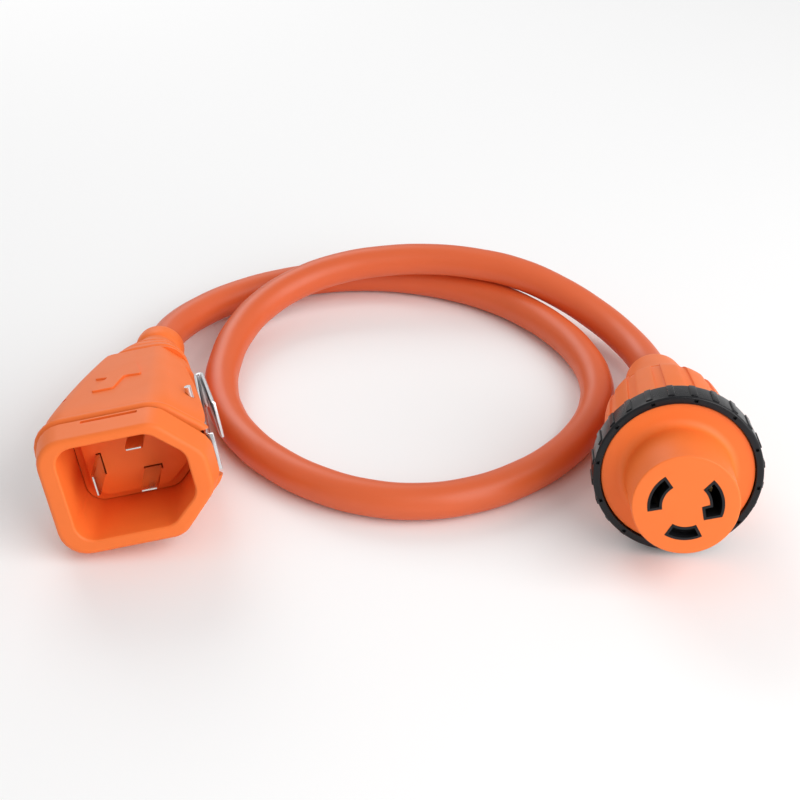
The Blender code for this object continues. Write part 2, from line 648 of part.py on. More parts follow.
def build_plug_boot(frame):
    taper = BOOT_LENGTH - BOOT_RING_LENGTH - 3.0
    pitch = taper / (BOOT_GROOVES + 0.5)
    stations = [(0.0, 0.6)]
    for k in range(BOOT_GROOVES):
        near = (k + 0.6) * pitch
        stations += [(near, 0.0), (near + 0.3 * pitch, BOOT_GROOVE_DEPTH), (near + 0.42 * pitch, BOOT_GROOVE_DEPTH),
                     (near + 0.5 * pitch, 0.0)]
    stations.append((taper, 0.0))
    sections = []
    for distance, cut in stations:
        t = distance / taper
        wide = (HOUSING_END_HALF_WIDTH - 0.5) * (1 - t) + BOOT_NECK_RADIUS * t + 1.6 * sin(pi * t) - cut
        high = (HOUSING_END_HALF_HEIGHT - 0.4) * (1 - t) + BOOT_NECK_RADIUS * t + 0.9 * sin(pi * t) - cut
        sections.append(boot_section(distance, wide, high, BOOT_SQUARENESS * max(0.0, 1 - t / 0.8)))
    ring_start = taper + 3.0
    for share, drop in ((0.0, 1.0), (0.12, 0.3), (0.3, 0.0), (0.7, 0.0), (0.88, 0.6), (1.0, 2.0)):
        radius = BOOT_RING_RADIUS - drop
        sections.append(boot_section(ring_start + share * BOOT_RING_LENGTH, radius, radius))
    steps = 6
    bore = CORD_BORE / 2
    for k in range(steps + 1):
        sections.append(boot_section(BOOT_LENGTH * (1 - k / steps), bore, bore))
    bm = bmesh.new()
    loft(bm, sections, closed_run=True)
    add_object("plug_boot", bm, ORANGE, frame)


def jacket_stub(name, points, frame):
    tube(name, points, CORD_DIAMETER, 3, JACKET, frame)


def build_wires(prefix, start_y, ends, frame):
    """Three insulated cores from the end of the jacket to the backs of the contacts."""
    for number, (end, angle) in enumerate(ends, 1):
        a = radians(angle)
        start = Vector((CORD_CORE_OFFSET * cos(a), start_y, CORD_CORE_OFFSET * sin(a)))
        end = Vector(end)
        run = (start.y - end.y) * 0.3
        points = smooth_run((start, start - Vector((0, run, 0)), end + Vector((0, run, 0)), end), 4.5)
        colour = WIRE_COLOURS[number - 1]
        tube("%s_wire_%d" % (prefix, number), points, CORD_CORE_DIAMETER * 0.9, 2, (colour, 0.45, 0.0), frame)


def build_plug(frame):
    build_plug_shroud(frame)
    build_plug_gasket(frame)
    build_plug_housing(frame)
    build_plug_insert(frame)
    build_blades(frame)
    build_latch(1, "right", frame)
    build_latch(-1, "left", frame)
    clamp_y = HOUSING_END - CLAMP_SETBACK - CLAMP_LENGTH
    build_clamp("plug", clamp_y, frame)
    build_plug_boot(frame)
    stub_start = clamp_y - 3.0
    stub = [Vector((0, stub_start, 0)), Vector((0, (stub_start + HOUSING_END) / 2, 0)), Vector((0, HOUSING_END, 0))]
    steps = 5
    stub += [boot_frame(BOOT_LENGTH * k / steps).translation for k in range(1, steps + 1)]
    jacket_stub("plug_jacket_end", stub, frame)
    tail = MOUTH_DEPTH + BLADE_TAIL + GAP
    ends = [(Vector((x, tail, z)), angle) for (_, x, z, _, _), angle in zip(BLADES, (190, 60, -50))]
    build_wires("plug", stub_start - GAP, ends, frame)


# ---------------------------------------------------------------- socket
FLANGE_BACK = FLANGE_RECESS + FLANGE_THICKNESS
NOSE_FACE_Y = FLANGE_RECESS - NOSE_LENGTH
NECK_RADIUS = FLANGE_RADIUS - RING_SHOULDER
GRIP_START = FLANGE_BACK + GAP
GRIP_END = RING_WIDTH + SOCKET_GRIP_LENGTH
INSERT_START = NOSE_FACE_Y + NOSE_FACE_THICKNESS + GAP


def inset(points, distance):
    """Draws an outline in by the same distance on every side; its points run anticlockwise."""
    drawn = []
    for i, point in enumerate(points):
        before = (point - points[i - 1]).normalized()
        after = (points[(i + 1) % len(points)] - point).normalized()
        run = (before + after).normalized()
        drawn.append(point + Vector((-run.y, run.x)) * distance / max(0.5, run.dot(before)))
    return drawn


def slot_outline(name, start, end, shrink=0.0):
    """Outline of one curved slot in the face, drawn in by shrink on every side."""
    if name == "right":
        outer_side = [Vector((cos(a), sin(a))) * SLOT_OUTER_RADIUS for a in spread(start, end, 9)]
        inner_side = [Vector((cos(a), sin(a))) * SLOT_INNER_RADIUS for a in spread(end, HOOK_TOP, 7)]
        return inset(outer_side + inner_side + [Vector(corner) for corner in HOOK_CORNERS], shrink)
    trim = degrees(shrink / ((SLOT_INNER_RADIUS + SLOT_OUTER_RADIUS) / 2))
    return arc_points(SLOT_INNER_RADIUS + shrink, SLOT_OUTER_RADIUS - shrink, start + trim, end - trim)


def spread(start, end, count):
    """Evenly spaced angles in radians between two given in degrees."""
    return [radians(start + (end - start) * k / (count - 1)) for k in range(count)]


def build_socket_nose(frame):
    bm = bmesh.new()
    face, bore = NOSE_FACE_Y, INSERT_RADIUS + GAP
    sleeve = bore + NOSE_SLEEVE_WALL
    base = NOSE_RADIUS + NOSE_DRAFT
    fillet = [(base + NOSE_FILLET * (1 - cos(a)), FLANGE_RECESS - NOSE_FILLET * (1 - sin(a)))
              for a in (radians(v) for v in (0, 25, 50, 75, 90))]
    profile = [(0, face), (NOSE_RADIUS - 0.8, face), (NOSE_RADIUS - 0.2, face + 0.3), (NOSE_RADIUS, face + 0.9)]
    profile += fillet
    profile += [(FLANGE_RADIUS - 0.4, FLANGE_RECESS), (FLANGE_RADIUS, FLANGE_RECESS + 0.4),
                (FLANGE_RADIUS, FLANGE_BACK), (sleeve, FLANGE_BACK), (sleeve, FLANGE_BACK + NOSE_SLEEVE_LENGTH),
                (bore, FLANGE_BACK + NOSE_SLEEVE_LENGTH), (bore, face + NOSE_FACE_THICKNESS),
                (0, face + NOSE_FACE_THICKNESS)]
    turned(bm, profile, 44)
    nose = add_object("socket_nose", bm, ORANGE, frame)
    for name, start, end in SLOTS:
        cut = bmesh.new()
        prism(cut, slot_outline(name, start, end), face - 2, face + NOSE_FACE_THICKNESS + 1)
        boolean(nose, add_object("slot_cut_" + name, cut, BLACK, frame, smooth=False))


def build_socket_insert(frame):
    """Black contact carrier: its raised collars line the three slots."""
    bm = bmesh.new()
    end = INSERT_START + INSERT_LENGTH
    turned(bm, ((0, INSERT_START), (INSERT_RADIUS, INSERT_START), (INSERT_RADIUS, end), (0, end)), 32)
    insert = add_object("socket_insert", bm, BLACK, frame)
    for name, start, stop in SLOTS:
        collar = bmesh.new()
        prism(collar, slot_outline(name, start, stop, GAP * 0.8), NOSE_FACE_Y + GAP, INSERT_START + 1)
        boolean(insert, add_object("collar_add_" + name, collar, BLACK, frame, smooth=False), "UNION")
    for name, start, stop in SLOTS:
        hole = bmesh.new()
        prism(hole, slot_outline(name, start, stop, SLOT_LINER_WALL), NOSE_FACE_Y - 1, end + 1)
        boolean(insert, add_object("liner_cut_" + name, hole, BLACK, frame, smooth=False))


def build_contacts(frame):
    start = NOSE_FACE_Y + CONTACT_SETBACK
    end = INSERT_START + INSERT_LENGTH + CONTACT_TAIL
    inner = SLOT_INNER_RADIUS + SLOT_LINER_WALL + GAP
    ends = []
    for number, (name, slot_start, slot_end) in enumerate(SLOTS, 1):
        middle = (slot_start + slot_end) / 2 + (4.0 if name == "right" else 0.0)
        bm = bmesh.new()
        prism(bm, arc_points(inner, inner + CONTACT_THICKNESS, middle - CONTACT_HALF_ANGLE,
                             middle + CONTACT_HALF_ANGLE, 6), start, end)
        contact = add_object("socket_contact_%d" % number, bm, BRASS, frame)
        out = Vector((cos(radians(middle)), 0, sin(radians(middle))))
        seat = out * (inner + CONTACT_THICKNESS + 2 * GAP) + Vector((0, end - 4.5, 0))
        round_hole(contact, "contact_hole_%d" % number, seat + out * 3, seat - out * 5, SCREW_RADIUS + GAP, frame)
        screw("socket_terminal_screw_%d" % number, seat, -out, SCREW_REACH, frame)
        place = out * (inner + CONTACT_THICKNESS / 2) + Vector((0, end + GAP, 0))
        ends.append((place, middle))
    return ends


def build_locking_ring(frame):
    pivot = bpy.data.objects.new("locking_ring_axis", None)
    bpy.context.collection.objects.link(pivot)
    pivot.parent = frame
    bore = FLANGE_RADIUS + GAP
    shoulder = NECK_RADIUS + GAP
    profile = ((bore, 0), (RING_RADIUS - 0.7, 0), (RING_RADIUS, 0.7), (RING_RADIUS, 1.9),
               (RING_RADIUS, 2.4), (RING_RADIUS, RING_WIDTH - 1.6), (RING_RADIUS - 0.3, RING_WIDTH - 1.1),
               (RING_RADIUS - 1.2, RING_WIDTH), (shoulder, RING_WIDTH), (shoulder, FLANGE_BACK + GAP),
               (bore, FLANGE_BACK + GAP))
    ribbed = (4, 5)
    per_rib = 4

    def radius_at(index, radius, angle):
        phase = (angle / (2 * pi) * RING_RIBS) % 1.0
        on_rib = phase < 0.35 or phase > 0.95
        return radius + RING_RIB_HEIGHT if index in ribbed and on_rib else radius

    bm = bmesh.new()
    turned(bm, profile, RING_RIBS * per_rib, radius_at)
    add_object("locking_ring", bm, BLACK, pivot)


def build_retainer(frame):
    bm = bmesh.new()
    inner, outer = NECK_RADIUS + GAP, NECK_RADIUS + RETAINER_PROUD
    start = RING_WIDTH + GAP
    turned(bm, ((inner, start), (outer, start), (outer, start + RETAINER_WIDTH), (inner, start + RETAINER_WIDTH)), 32)
    add_object("ring_retainer", bm, BLACK, frame)


def build_socket_housing(frame):
    bm = bmesh.new()
    neck_end = RING_WIDTH + 2 * GAP + RETAINER_WIDTH
    run = GRIP_END - neck_end
    inner = INSERT_RADIUS + GAP + NOSE_SLEEVE_WALL + GAP
    outer_line = [(NECK_RADIUS, GRIP_START), (NECK_RADIUS, neck_end)]
    shape = ((0.04, 0.0), (0.3, 0.4), (0.55, 1.1), (0.75, 2.0), (0.86, 2.8), (0.93, 3.7))
    outer_line += [(NECK_RADIUS - drop, neck_end + run * t) for t, drop in shape]
    outer_line += [(SOCKET_GRIP_END_RADIUS + 1.0, GRIP_END - 0.5), (SOCKET_GRIP_END_RADIUS, GRIP_END)]
    fluted = range(2, 7)
    end_bore = SOCKET_GRIP_END_RADIUS - SOCKET_WALL
    inner_line = [(end_bore, GRIP_END), (inner, GRIP_END - 8.0), (inner, GRIP_START)]
    per_flute = 6

    def radius_at(index, radius, angle):
        phase = (angle / (2 * pi) * SOCKET_FLUTES) % 1.0
        in_flute = abs(phase - 0.5) * 360 / SOCKET_FLUTES < FLUTE_WIDTH * 0.6
        return radius - FLUTE_DEPTH if index in fluted and in_flute else radius

    turned(bm, outer_line + inner_line, SOCKET_FLUTES * per_flute, radius_at)
    add_object("socket_housing", bm, ORANGE, frame)


def build_socket_boot(frame):
    bm = bmesh.new()
    start = GRIP_END + GAP
    first = SOCKET_GRIP_END_RADIUS - 1.2
    last = SOCKET_BOOT_END_RADIUS
    profile = []
    for k in range(8):
        t = k / 7
        radius = first + (last - first) * (t ** 0.85)
        profile.append((radius, start + SOCKET_BOOT_LENGTH * t * 0.97))
    profile += [(last - 1.2, start + SOCKET_BOOT_LENGTH), (CORD_BORE / 2, start + SOCKET_BOOT_LENGTH),
                (CORD_BORE / 2, start)]
    turned(bm, profile, 32)
    add_object("socket_boot", bm, ORANGE, frame)


def build_socket(frame):
    build_socket_nose(frame)
    build_socket_insert(frame)
    ends = build_contacts(frame)
    build_locking_ring(frame)
    build_retainer(frame)
    build_socket_housing(frame)
    clamp_y = GRIP_END - CLAMP_SETBACK - CLAMP_LENGTH - 5.0
    build_clamp("socket", clamp_y, frame)
    build_socket_boot(frame)
    stub_start, stub_end = clamp_y - 3.0, GRIP_END + GAP + SOCKET_BOOT_LENGTH
    points = [Vector((0, stub_start + (stub_end - stub_start) * k / 4, 0)) for k in range(5)]
    jacket_stub("socket_jacket_end", points, frame)
    build_wires("socket", stub_start - GAP, ends, frame)


# ---------------------------------------------------------------- placing
def seat_height(outline, tilt, roll):
    """Height of the mouth's middle when the lowest point of its rim is on the ground."""
    turn = Matrix.Rotation(-radians(tilt), 3, "X") @ Matrix.Rotation(-radians(roll), 3, "Y")
    return -min((turn @ point).z for point in outline)


def add_frame(name, x, y, z, yaw, tilt, roll):
    empty = bpy.data.objects.new(name, None)
    bpy.context.collection.objects.link(empty)
    turn = (Matrix.Rotation(radians(yaw), 4, "Z") @ Matrix.Rotation(-radians(tilt), 4, "X")
            @ Matrix.Rotation(-radians(roll), 4, "Y"))
    empty.matrix_world = Matrix.Translation(Vector((x, y, z)) * MM) @ turn
    return empty


def build_cord(plug_frame, socket_frame):
    """The free run, between the two boots: it leaves each boot straight, past a small gap."""
    def place(frame, local):
        return frame.matrix_world @ (local * MM) / MM

    plug_exit = boot_frame(BOOT_LENGTH)
    start, start_lead = (place(plug_frame, plug_exit @ Vector((0, d, 0))) for d in (GAP, GAP + CORD_LEAD))
    tail = GRIP_END + GAP + SOCKET_BOOT_LENGTH
    end, end_lead = (place(socket_frame, Vector((0, tail + d, 0))) for d in (GAP, GAP + CORD_LEAD))
    route = [start, start_lead] + [Vector(p) for p in CORD_ROUTE] + [end_lead, end]
    run = smooth_run(route, CORD_STEP)
    points = [start, start_lead] + [p for p in run[1:-1] if (p - start).length > 2 * CORD_LEAD
                                    and (p - end).length > 2 * CORD_LEAD] + [end_lead, end]
    tube("cord", points, CORD_DIAMETER, 3, JACKET, None)


def main():
    clear_scene()
    plug_foot = [point for t in range(11) for point in housing_outline(t / 10)]
    plug_foot += boot_section(BOOT_LENGTH - BOOT_RING_LENGTH / 2, BOOT_RING_RADIUS, BOOT_RING_RADIUS)
    plug_height = seat_height(plug_foot, PLUG_TILT, PLUG_ROLL)
    plug_frame = add_frame("plug_frame", PLUG_X, PLUG_Y, plug_height, PLUG_YAW, PLUG_TILT, PLUG_ROLL)
    tilt = radians(SOCKET_TILT)
    socket_height = (RING_RADIUS + RING_RIB_HEIGHT) * cos(tilt) + (RING_WIDTH - 1.6) * sin(tilt)
    socket_frame = add_frame("socket_frame", SOCKET_X, SOCKET_Y, socket_height, SOCKET_YAW, SOCKET_TILT, 0.0)
    bpy.context.view_layer.update()
    build_plug(plug_frame)
    build_socket(socket_frame)
    build_cord(plug_frame, socket_frame)


main()
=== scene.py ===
import bpy
import json
from math import atan2, cos, degrees, pi, radians, sin
from mathutils import Matrix, Vector


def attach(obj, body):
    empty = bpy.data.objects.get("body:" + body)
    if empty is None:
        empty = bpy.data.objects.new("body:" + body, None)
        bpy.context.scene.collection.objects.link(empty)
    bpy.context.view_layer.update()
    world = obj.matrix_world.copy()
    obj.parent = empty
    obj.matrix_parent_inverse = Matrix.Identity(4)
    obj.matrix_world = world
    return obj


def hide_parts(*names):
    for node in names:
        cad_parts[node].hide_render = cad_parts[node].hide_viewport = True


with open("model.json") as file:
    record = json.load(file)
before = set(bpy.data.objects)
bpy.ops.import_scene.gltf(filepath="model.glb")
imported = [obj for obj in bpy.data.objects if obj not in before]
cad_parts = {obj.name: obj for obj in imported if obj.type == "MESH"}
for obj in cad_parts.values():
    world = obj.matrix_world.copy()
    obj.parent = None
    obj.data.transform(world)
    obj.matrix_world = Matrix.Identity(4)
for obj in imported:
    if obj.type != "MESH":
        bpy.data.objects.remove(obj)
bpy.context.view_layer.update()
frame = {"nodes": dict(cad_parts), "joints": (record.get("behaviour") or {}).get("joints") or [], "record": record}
nodes = frame["nodes"]
mm = 0.001
mergeDistance = 0.002
cornerSegments = 6

# from each mount back to the origin of its connector, in the connector's millimetres
originShift = {"plug": (6.0, -31.0, -2.0), "socket": (0, 28.2, 0)}


# where the two connectors lie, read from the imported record
def mountNamed(name):
    return next(m for m in frame["record"]["mounts"] if m["name"] == name)


def placeFrom(origin, forward, up):
    forward = forward.normalized()
    side = forward.cross(up).normalized()
    place = Matrix((side, forward, side.cross(forward))).transposed().to_4x4()
    place.translation = origin
    return place


def plugPlace():
    carrier = mountNamed("plug_blade_carrier")
    hinge = next(j for j in frame["joints"] if j["name"] == "latch_right_hinge")
    place = placeFrom(Vector(carrier["pos_m"]), -Vector(carrier["axis"]), Vector(hinge["axis"]))
    return place @ Matrix.Translation(Vector(originShift["plug"]) * mm)


def socketPlace():
    face, flange = mountNamed("socket_face"), mountNamed("socket_flange")
    forward = -Vector(face["axis"])
    place = placeFrom(Vector(face["pos_m"]), forward, Vector(flange["pos_m"]) - Vector(face["pos_m"]))
    return place @ Matrix.Translation(Vector(originShift["socket"]) * mm)


plugFrame = plugPlace()
socketFrame = socketPlace()


# camera
cameraSettings = {"place": (0.00048, -0.58145, 0.4307), "tiltDown": 34.0, "focalLength": 71.3,
                  "sensor": 36.0, "clipStart": 0.01}


def makeCamera():
    data = bpy.data.cameras.new("camera")
    data.lens = cameraSettings["focalLength"]
    data.sensor_width = cameraSettings["sensor"]
    data.clip_start = cameraSettings["clipStart"]
    camera = bpy.data.objects.new("camera", data)
    bpy.context.scene.collection.objects.link(camera)
    camera.location = cameraSettings["place"]
    camera.rotation_euler = (radians(90 - cameraSettings["tiltDown"]), 0, 0)
    bpy.context.scene.camera = camera


makeCamera()
print("camera set")


# selecting and shaping, the way it is done by hand
def startFresh():
    if bpy.context.object and bpy.context.object.mode != "OBJECT":
        bpy.ops.object.mode_set(mode="OBJECT")
    bpy.ops.object.select_all(action="DESELECT")


def activate(piece):
    startFresh()
    piece.select_set(True)
    bpy.context.view_layer.objects.active = piece


def pick(piece, test, kind="FACE"):
    activate(piece)
    bpy.ops.object.mode_set(mode="EDIT")
    bpy.ops.mesh.select_mode(type=kind)
    bpy.ops.mesh.select_all(action="DESELECT")
    bpy.ops.object.mode_set(mode="OBJECT")
    if kind == "VERT":
        for vertex in piece.data.vertices:
            vertex.select = test(vertex.co)
    else:
        for face in piece.data.polygons:
            face.select = test(face.center)
    bpy.ops.object.mode_set(mode="EDIT")


def tidyMesh(piece):
    activate(piece)
    bpy.ops.object.mode_set(mode="EDIT")
    bpy.ops.mesh.select_mode(type="VERT")
    bpy.ops.mesh.select_all(action="SELECT")
    bpy.ops.mesh.remove_doubles(threshold=mergeDistance)
    bpy.ops.mesh.normals_make_consistent(inside=False)
    bpy.ops.object.mode_set(mode="OBJECT")


def outline(name, corners, toPoint):
    # a filled outline whose corners (a, b, round) are rounded one by one with vertex bevels
    startFresh()
    bpy.ops.mesh.primitive_circle_add(vertices=len(corners), radius=1, fill_type="NGON")
    piece = bpy.context.object
    piece.name = name
    for vertex, (a, b, _) in zip(piece.data.vertices, corners):
        vertex.co = toPoint(a, b)
    for a, b, rounding in corners:
        if rounding:
            spot = toPoint(a, b)
            pick(piece, lambda co: (co - spot).length < 0.01, "VERT")
            bpy.ops.mesh.bevel(offset=rounding, segments=cornerSegments, affect="VERTICES")
            bpy.ops.object.mode_set(mode="OBJECT")
    return piece


def outlineAt(name, corners, y):
    return outline(name, corners, lambda a, b: Vector((a, y, b)))


def drawnIn(spots, distance):
    # moves every side of an anticlockwise outline inwards
    drawn = []
    for i, spot in enumerate(spots):
        before = (spot - spots[i - 1]).normalized()
        after = (spots[(i + 1) % len(spots)] - spot).normalized()
        run = (before + after).normalized()
        drawn.append(spot + Vector((-run.y, run.x)) * distance / max(0.5, run.dot(before)))
    return drawn


def stretch(piece, stations, start):
    # extrudes the picked face through stations (y, wide, high, lift), sizes counted from the outline
    last = start
    for station in stations:
        y, wide, high, lift = station
        move = (0, y - last[0], lift - last[3])
        bpy.ops.mesh.extrude_region_move(TRANSFORM_OT_translate={"value": move})
        bpy.ops.transform.resize(value=(wide / last[1], 1, high / last[2]), center_override=(0, y, lift))
        last = station
    bpy.ops.object.mode_set(mode="OBJECT")


def prismAlong(name, corners, start, end):
    piece = outlineAt(name, corners, start)
    pick(piece, lambda co: True)
    stretch(piece, [(end, 1, 1, 0)], (start, 1, 1, 0))
    tidyMesh(piece)
    return piece


def spun(name, profile, steps, turn=0.0):
    # a closed profile (radius, y, round) turned once about the Y axis
    piece = outline(name, profile, lambda a, b: Vector((a, b, 0)))
    activate(piece)
    bpy.ops.object.mode_set(mode="EDIT")
    bpy.ops.mesh.select_all(action="SELECT")
    bpy.ops.mesh.delete(type="ONLY_FACE")
    bpy.ops.mesh.select_all(action="SELECT")
    bpy.ops.mesh.spin(steps=steps, angle=-2 * pi, center=(0, 0, 0), axis=(0, 1, 0))
    bpy.ops.object.mode_set(mode="OBJECT")
    if turn:
        piece.data.transform(Matrix.Rotation(-turn, 4, "Y"))
    tidyMesh(piece)
    # a profile that starts on the axis leaves a bare edge along it
    bpy.ops.object.mode_set(mode="EDIT")
    bpy.ops.mesh.select_all(action="SELECT")
    bpy.ops.mesh.delete_loose(use_faces=False)
    bpy.ops.object.mode_set(mode="OBJECT")
    return piece


def cutWith(piece, cutter, operation="DIFFERENCE", solver="EXACT"):
    activate(piece)
    modifier = piece.modifiers.new("cut", "BOOLEAN")
    modifier.operation = operation
    modifier.object = cutter
    modifier.solver = solver
    bpy.ops.object.modifier_apply(modifier="cut")
    bpy.data.objects.remove(cutter)


def joined(pieces, name):
    startFresh()
    for piece in pieces:
        piece.select_set(True)
    bpy.context.view_layer.objects.active = pieces[0]
    bpy.ops.object.join()
    pieces[0].name = name
    return pieces[0]


def softenEdges(piece, width, angle, segments):
    activate(piece)
    modifier = piece.modifiers.new("soften", "BEVEL")
    modifier.width = width
    modifier.segments = segments
    modifier.limit_method = "ANGLE"
    modifier.angle_limit = radians(angle)
    bpy.ops.object.modifier_apply(modifier="soften")


def smooth(piece, angle):
    activate(piece)
    bpy.ops.object.shade_smooth_by_angle(angle=radians(angle))


def finishPiece(piece, place, material, body, stands, angle):
    # puts a piece made in a connector's own millimetres into the frame
    piece.data.transform(place @ Matrix.Scale(mm, 4))
    piece.data.update()
    smooth(piece, angle)
    piece.data.materials.clear()
    piece.data.materials.append(material)
    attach(piece, body)
    if stands:
        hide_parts(*stands)


# shader groups shared by the finishes
def newGroup(name, inputs, outputs):
    group = bpy.data.node_groups.new(name, "ShaderNodeTree")
    for label, kind, value in inputs:
        socket = group.interface.new_socket(label, in_out="INPUT", socket_type=kind)
        socket.default_value = value
    for label, kind in outputs:
        group.interface.new_socket(label, in_out="OUTPUT", socket_type=kind)
    return group, group.nodes.new("NodeGroupInput"), group.nodes.new("NodeGroupOutput")


def makeMouldedGrain():
    group, source, result = newGroup(
        "mouldedGrain",
        (("Colour", "NodeSocketColor", (1, 0.2, 0.03, 1)), ("Cloudiness", "NodeSocketFloat", 0.06),
         ("Grain Scale", "NodeSocketFloat", 1500.0), ("Grain Height", "NodeSocketFloat", 0.05),
         ("Roughness", "NodeSocketFloat", 0.5), ("Roughness Spread", "NodeSocketFloat", 0.1)),
        (("Colour", "NodeSocketColor"), ("Roughness", "NodeSocketFloat"), ("Normal", "NodeSocketVector")))
    link = group.links.new
    nodesHere = group.nodes
    coords = nodesHere.new("ShaderNodeTexCoord")
    clouds = nodesHere.new("ShaderNodeTexNoise")
    clouds.inputs["Scale"].default_value = 38
    clouds.inputs["Detail"].default_value = 4
    link(coords.outputs["Object"], clouds.inputs["Vector"])
    shade = nodesHere.new("ShaderNodeMapRange")
    link(clouds.outputs["Fac"], shade.inputs["Value"])
    shade.inputs["To Min"].default_value = 1.0
    below = nodesHere.new("ShaderNodeMath")
    below.operation = "SUBTRACT"
    below.inputs[0].default_value = 1.0
    link(source.outputs["Cloudiness"], below.inputs[1])
    link(below.outputs[0], shade.inputs["To Max"])
    tint = nodesHere.new("ShaderNodeVectorMath")
    tint.operation = "SCALE"
    link(source.outputs["Colour"], tint.inputs[0])
    link(shade.outputs[0], tint.inputs["Scale"])
    link(tint.outputs[0], result.inputs["Colour"])
    patches = nodesHere.new("ShaderNodeTexNoise")
    patches.inputs["Scale"].default_value = 90
    patches.inputs["Detail"].default_value = 6
    link(coords.outputs["Object"], patches.inputs["Vector"])
    centred = nodesHere.new("ShaderNodeMath")
    centred.operation = "SUBTRACT"
    centred.inputs[1].default_value = 0.5
    link(patches.outputs["Fac"], centred.inputs[0])
    spread = nodesHere.new("ShaderNodeMath")
    spread.operation = "MULTIPLY_ADD"
    link(centred.outputs[0], spread.inputs[0])
    link(source.outputs["Roughness Spread"], spread.inputs[1])
    link(source.outputs["Roughness"], spread.inputs[2])
    link(spread.outputs[0], result.inputs["Roughness"])
    grain = nodesHere.new("ShaderNodeTexNoise")
    grain.inputs["Detail"].default_value = 3
    link(coords.outputs["Object"], grain.inputs["Vector"])
    link(source.outputs["Grain Scale"], grain.inputs["Scale"])
    bump = nodesHere.new("ShaderNodeBump")
    bump.inputs["Distance"].default_value = 0.0002
    link(source.outputs["Grain Height"], bump.inputs["Strength"])
    link(grain.outputs["Fac"], bump.inputs["Height"])
    link(bump.outputs["Normal"], result.inputs["Normal"])
    return group


mouldedGrain = makeMouldedGrain()


def grainyMaterial(name, settings):
    material = bpy.data.materials.new(name)
    material.use_nodes = True
    tree = material.node_tree
    shader = tree.nodes["Principled BSDF"]
    grain = tree.nodes.new("ShaderNodeGroup")
    grain.node_tree = mouldedGrain
    grain.inputs["Colour"].default_value = (*settings["colour"], 1)
    grain.inputs["Cloudiness"].default_value = settings["cloudiness"]
    grain.inputs["Grain Scale"].default_value = settings["grainScale"]
    grain.inputs["Grain Height"].default_value = settings["grainHeight"]
    grain.inputs["Roughness"].default_value = settings["roughness"]
    grain.inputs["Roughness Spread"].default_value = settings["roughnessSpread"]
    tree.links.new(grain.outputs["Colour"], shader.inputs["Base Color"])
    tree.links.new(grain.outputs["Roughness"], shader.inputs["Roughness"])
    tree.links.new(grain.outputs["Normal"], shader.inputs["Normal"])
    for label, value in settings.get("fixed", {}).items():
        shader.inputs[label].default_value = value
    return material


finishes = {
    "orangeHousing": {
        "colour": (0.95, 0.19, 0.03), "cloudiness": 0.06,
        "grainScale": 1800.0, "grainHeight": 0.12, "roughness": 0.52, "roughnessSpread": 0.12,
        "fixed": {"Specular IOR Level": 0.4},
    },
    "orangeJacket": {
        "colour": (0.74, 0.125, 0.032), "cloudiness": 0.08,
        "grainScale": 900.0, "grainHeight": 0.06, "roughness": 0.42, "roughnessSpread": 0.12,
    },
    "blackPlastic": {
        "colour": (0.008, 0.008, 0.01), "cloudiness": 0.2,
        "grainScale": 1500.0, "grainHeight": 0.08, "roughness": 0.28, "roughnessSpread": 0.1,
        "fixed": {"Specular IOR Level": 0.3},
    },
    "slotLiner": {
        "colour": (0.012, 0.012, 0.014), "cloudiness": 0.2,
        "grainScale": 1800.0, "grainHeight": 0.1, "roughness": 0.45, "roughnessSpread": 0.1,
        "fixed": {"Specular IOR Level": 0.25},
    },
    # near-black gasket finish, partly real black rubber and partly painted shade: it darkens the seam between the
    # collar and the housing lip
    "gasketAndSeamShade": {
        "colour": (0.014, 0.011, 0.01), "cloudiness": 0.2,
        "grainScale": 1200.0, "grainHeight": 0.1, "roughness": 0.75, "roughnessSpread": 0.1,
    },
    "latchSteel": {
        "colour": (0.78, 0.78, 0.79), "cloudiness": 0.1,
        "grainScale": 700.0, "grainHeight": 0.05, "roughness": 0.24, "roughnessSpread": 0.1,
        "fixed": {"Metallic": 1.0},
    },
    "nickel": {
        "colour": (0.74, 0.71, 0.67), "cloudiness": 0.08,
        "grainScale": 600.0, "grainHeight": 0.03, "roughness": 0.22, "roughnessSpread": 0.1,
        "fixed": {"Metallic": 1.0},
    },
    "brass": {
        "colour": (0.42, 0.29, 0.13), "cloudiness": 0.12,
        "grainScale": 700.0, "grainHeight": 0.04, "roughness": 0.28, "roughnessSpread": 0.12,
        "fixed": {"Metallic": 1.0},
    },
    "wireBlack": {
        "colour": (0.03, 0.03, 0.03), "cloudiness": 0.1,
        "grainScale": 900.0, "grainHeight": 0.04, "roughness": 0.4, "roughnessSpread": 0.1,
    },
    "wireWhite": {
        "colour": (0.82, 0.82, 0.80), "cloudiness": 0.06,
        "grainScale": 900.0, "grainHeight": 0.04, "roughness": 0.4, "roughnessSpread": 0.1,
    },
    "wireGreen": {
        "colour": (0.05, 0.35, 0.12), "cloudiness": 0.06,
        "grainScale": 900.0, "grainHeight": 0.04, "roughness": 0.4, "roughnessSpread": 0.1,
    },
}
materials = {name: grainyMaterial(name, settings) for name, settings in finishes.items()}
print("materials made")


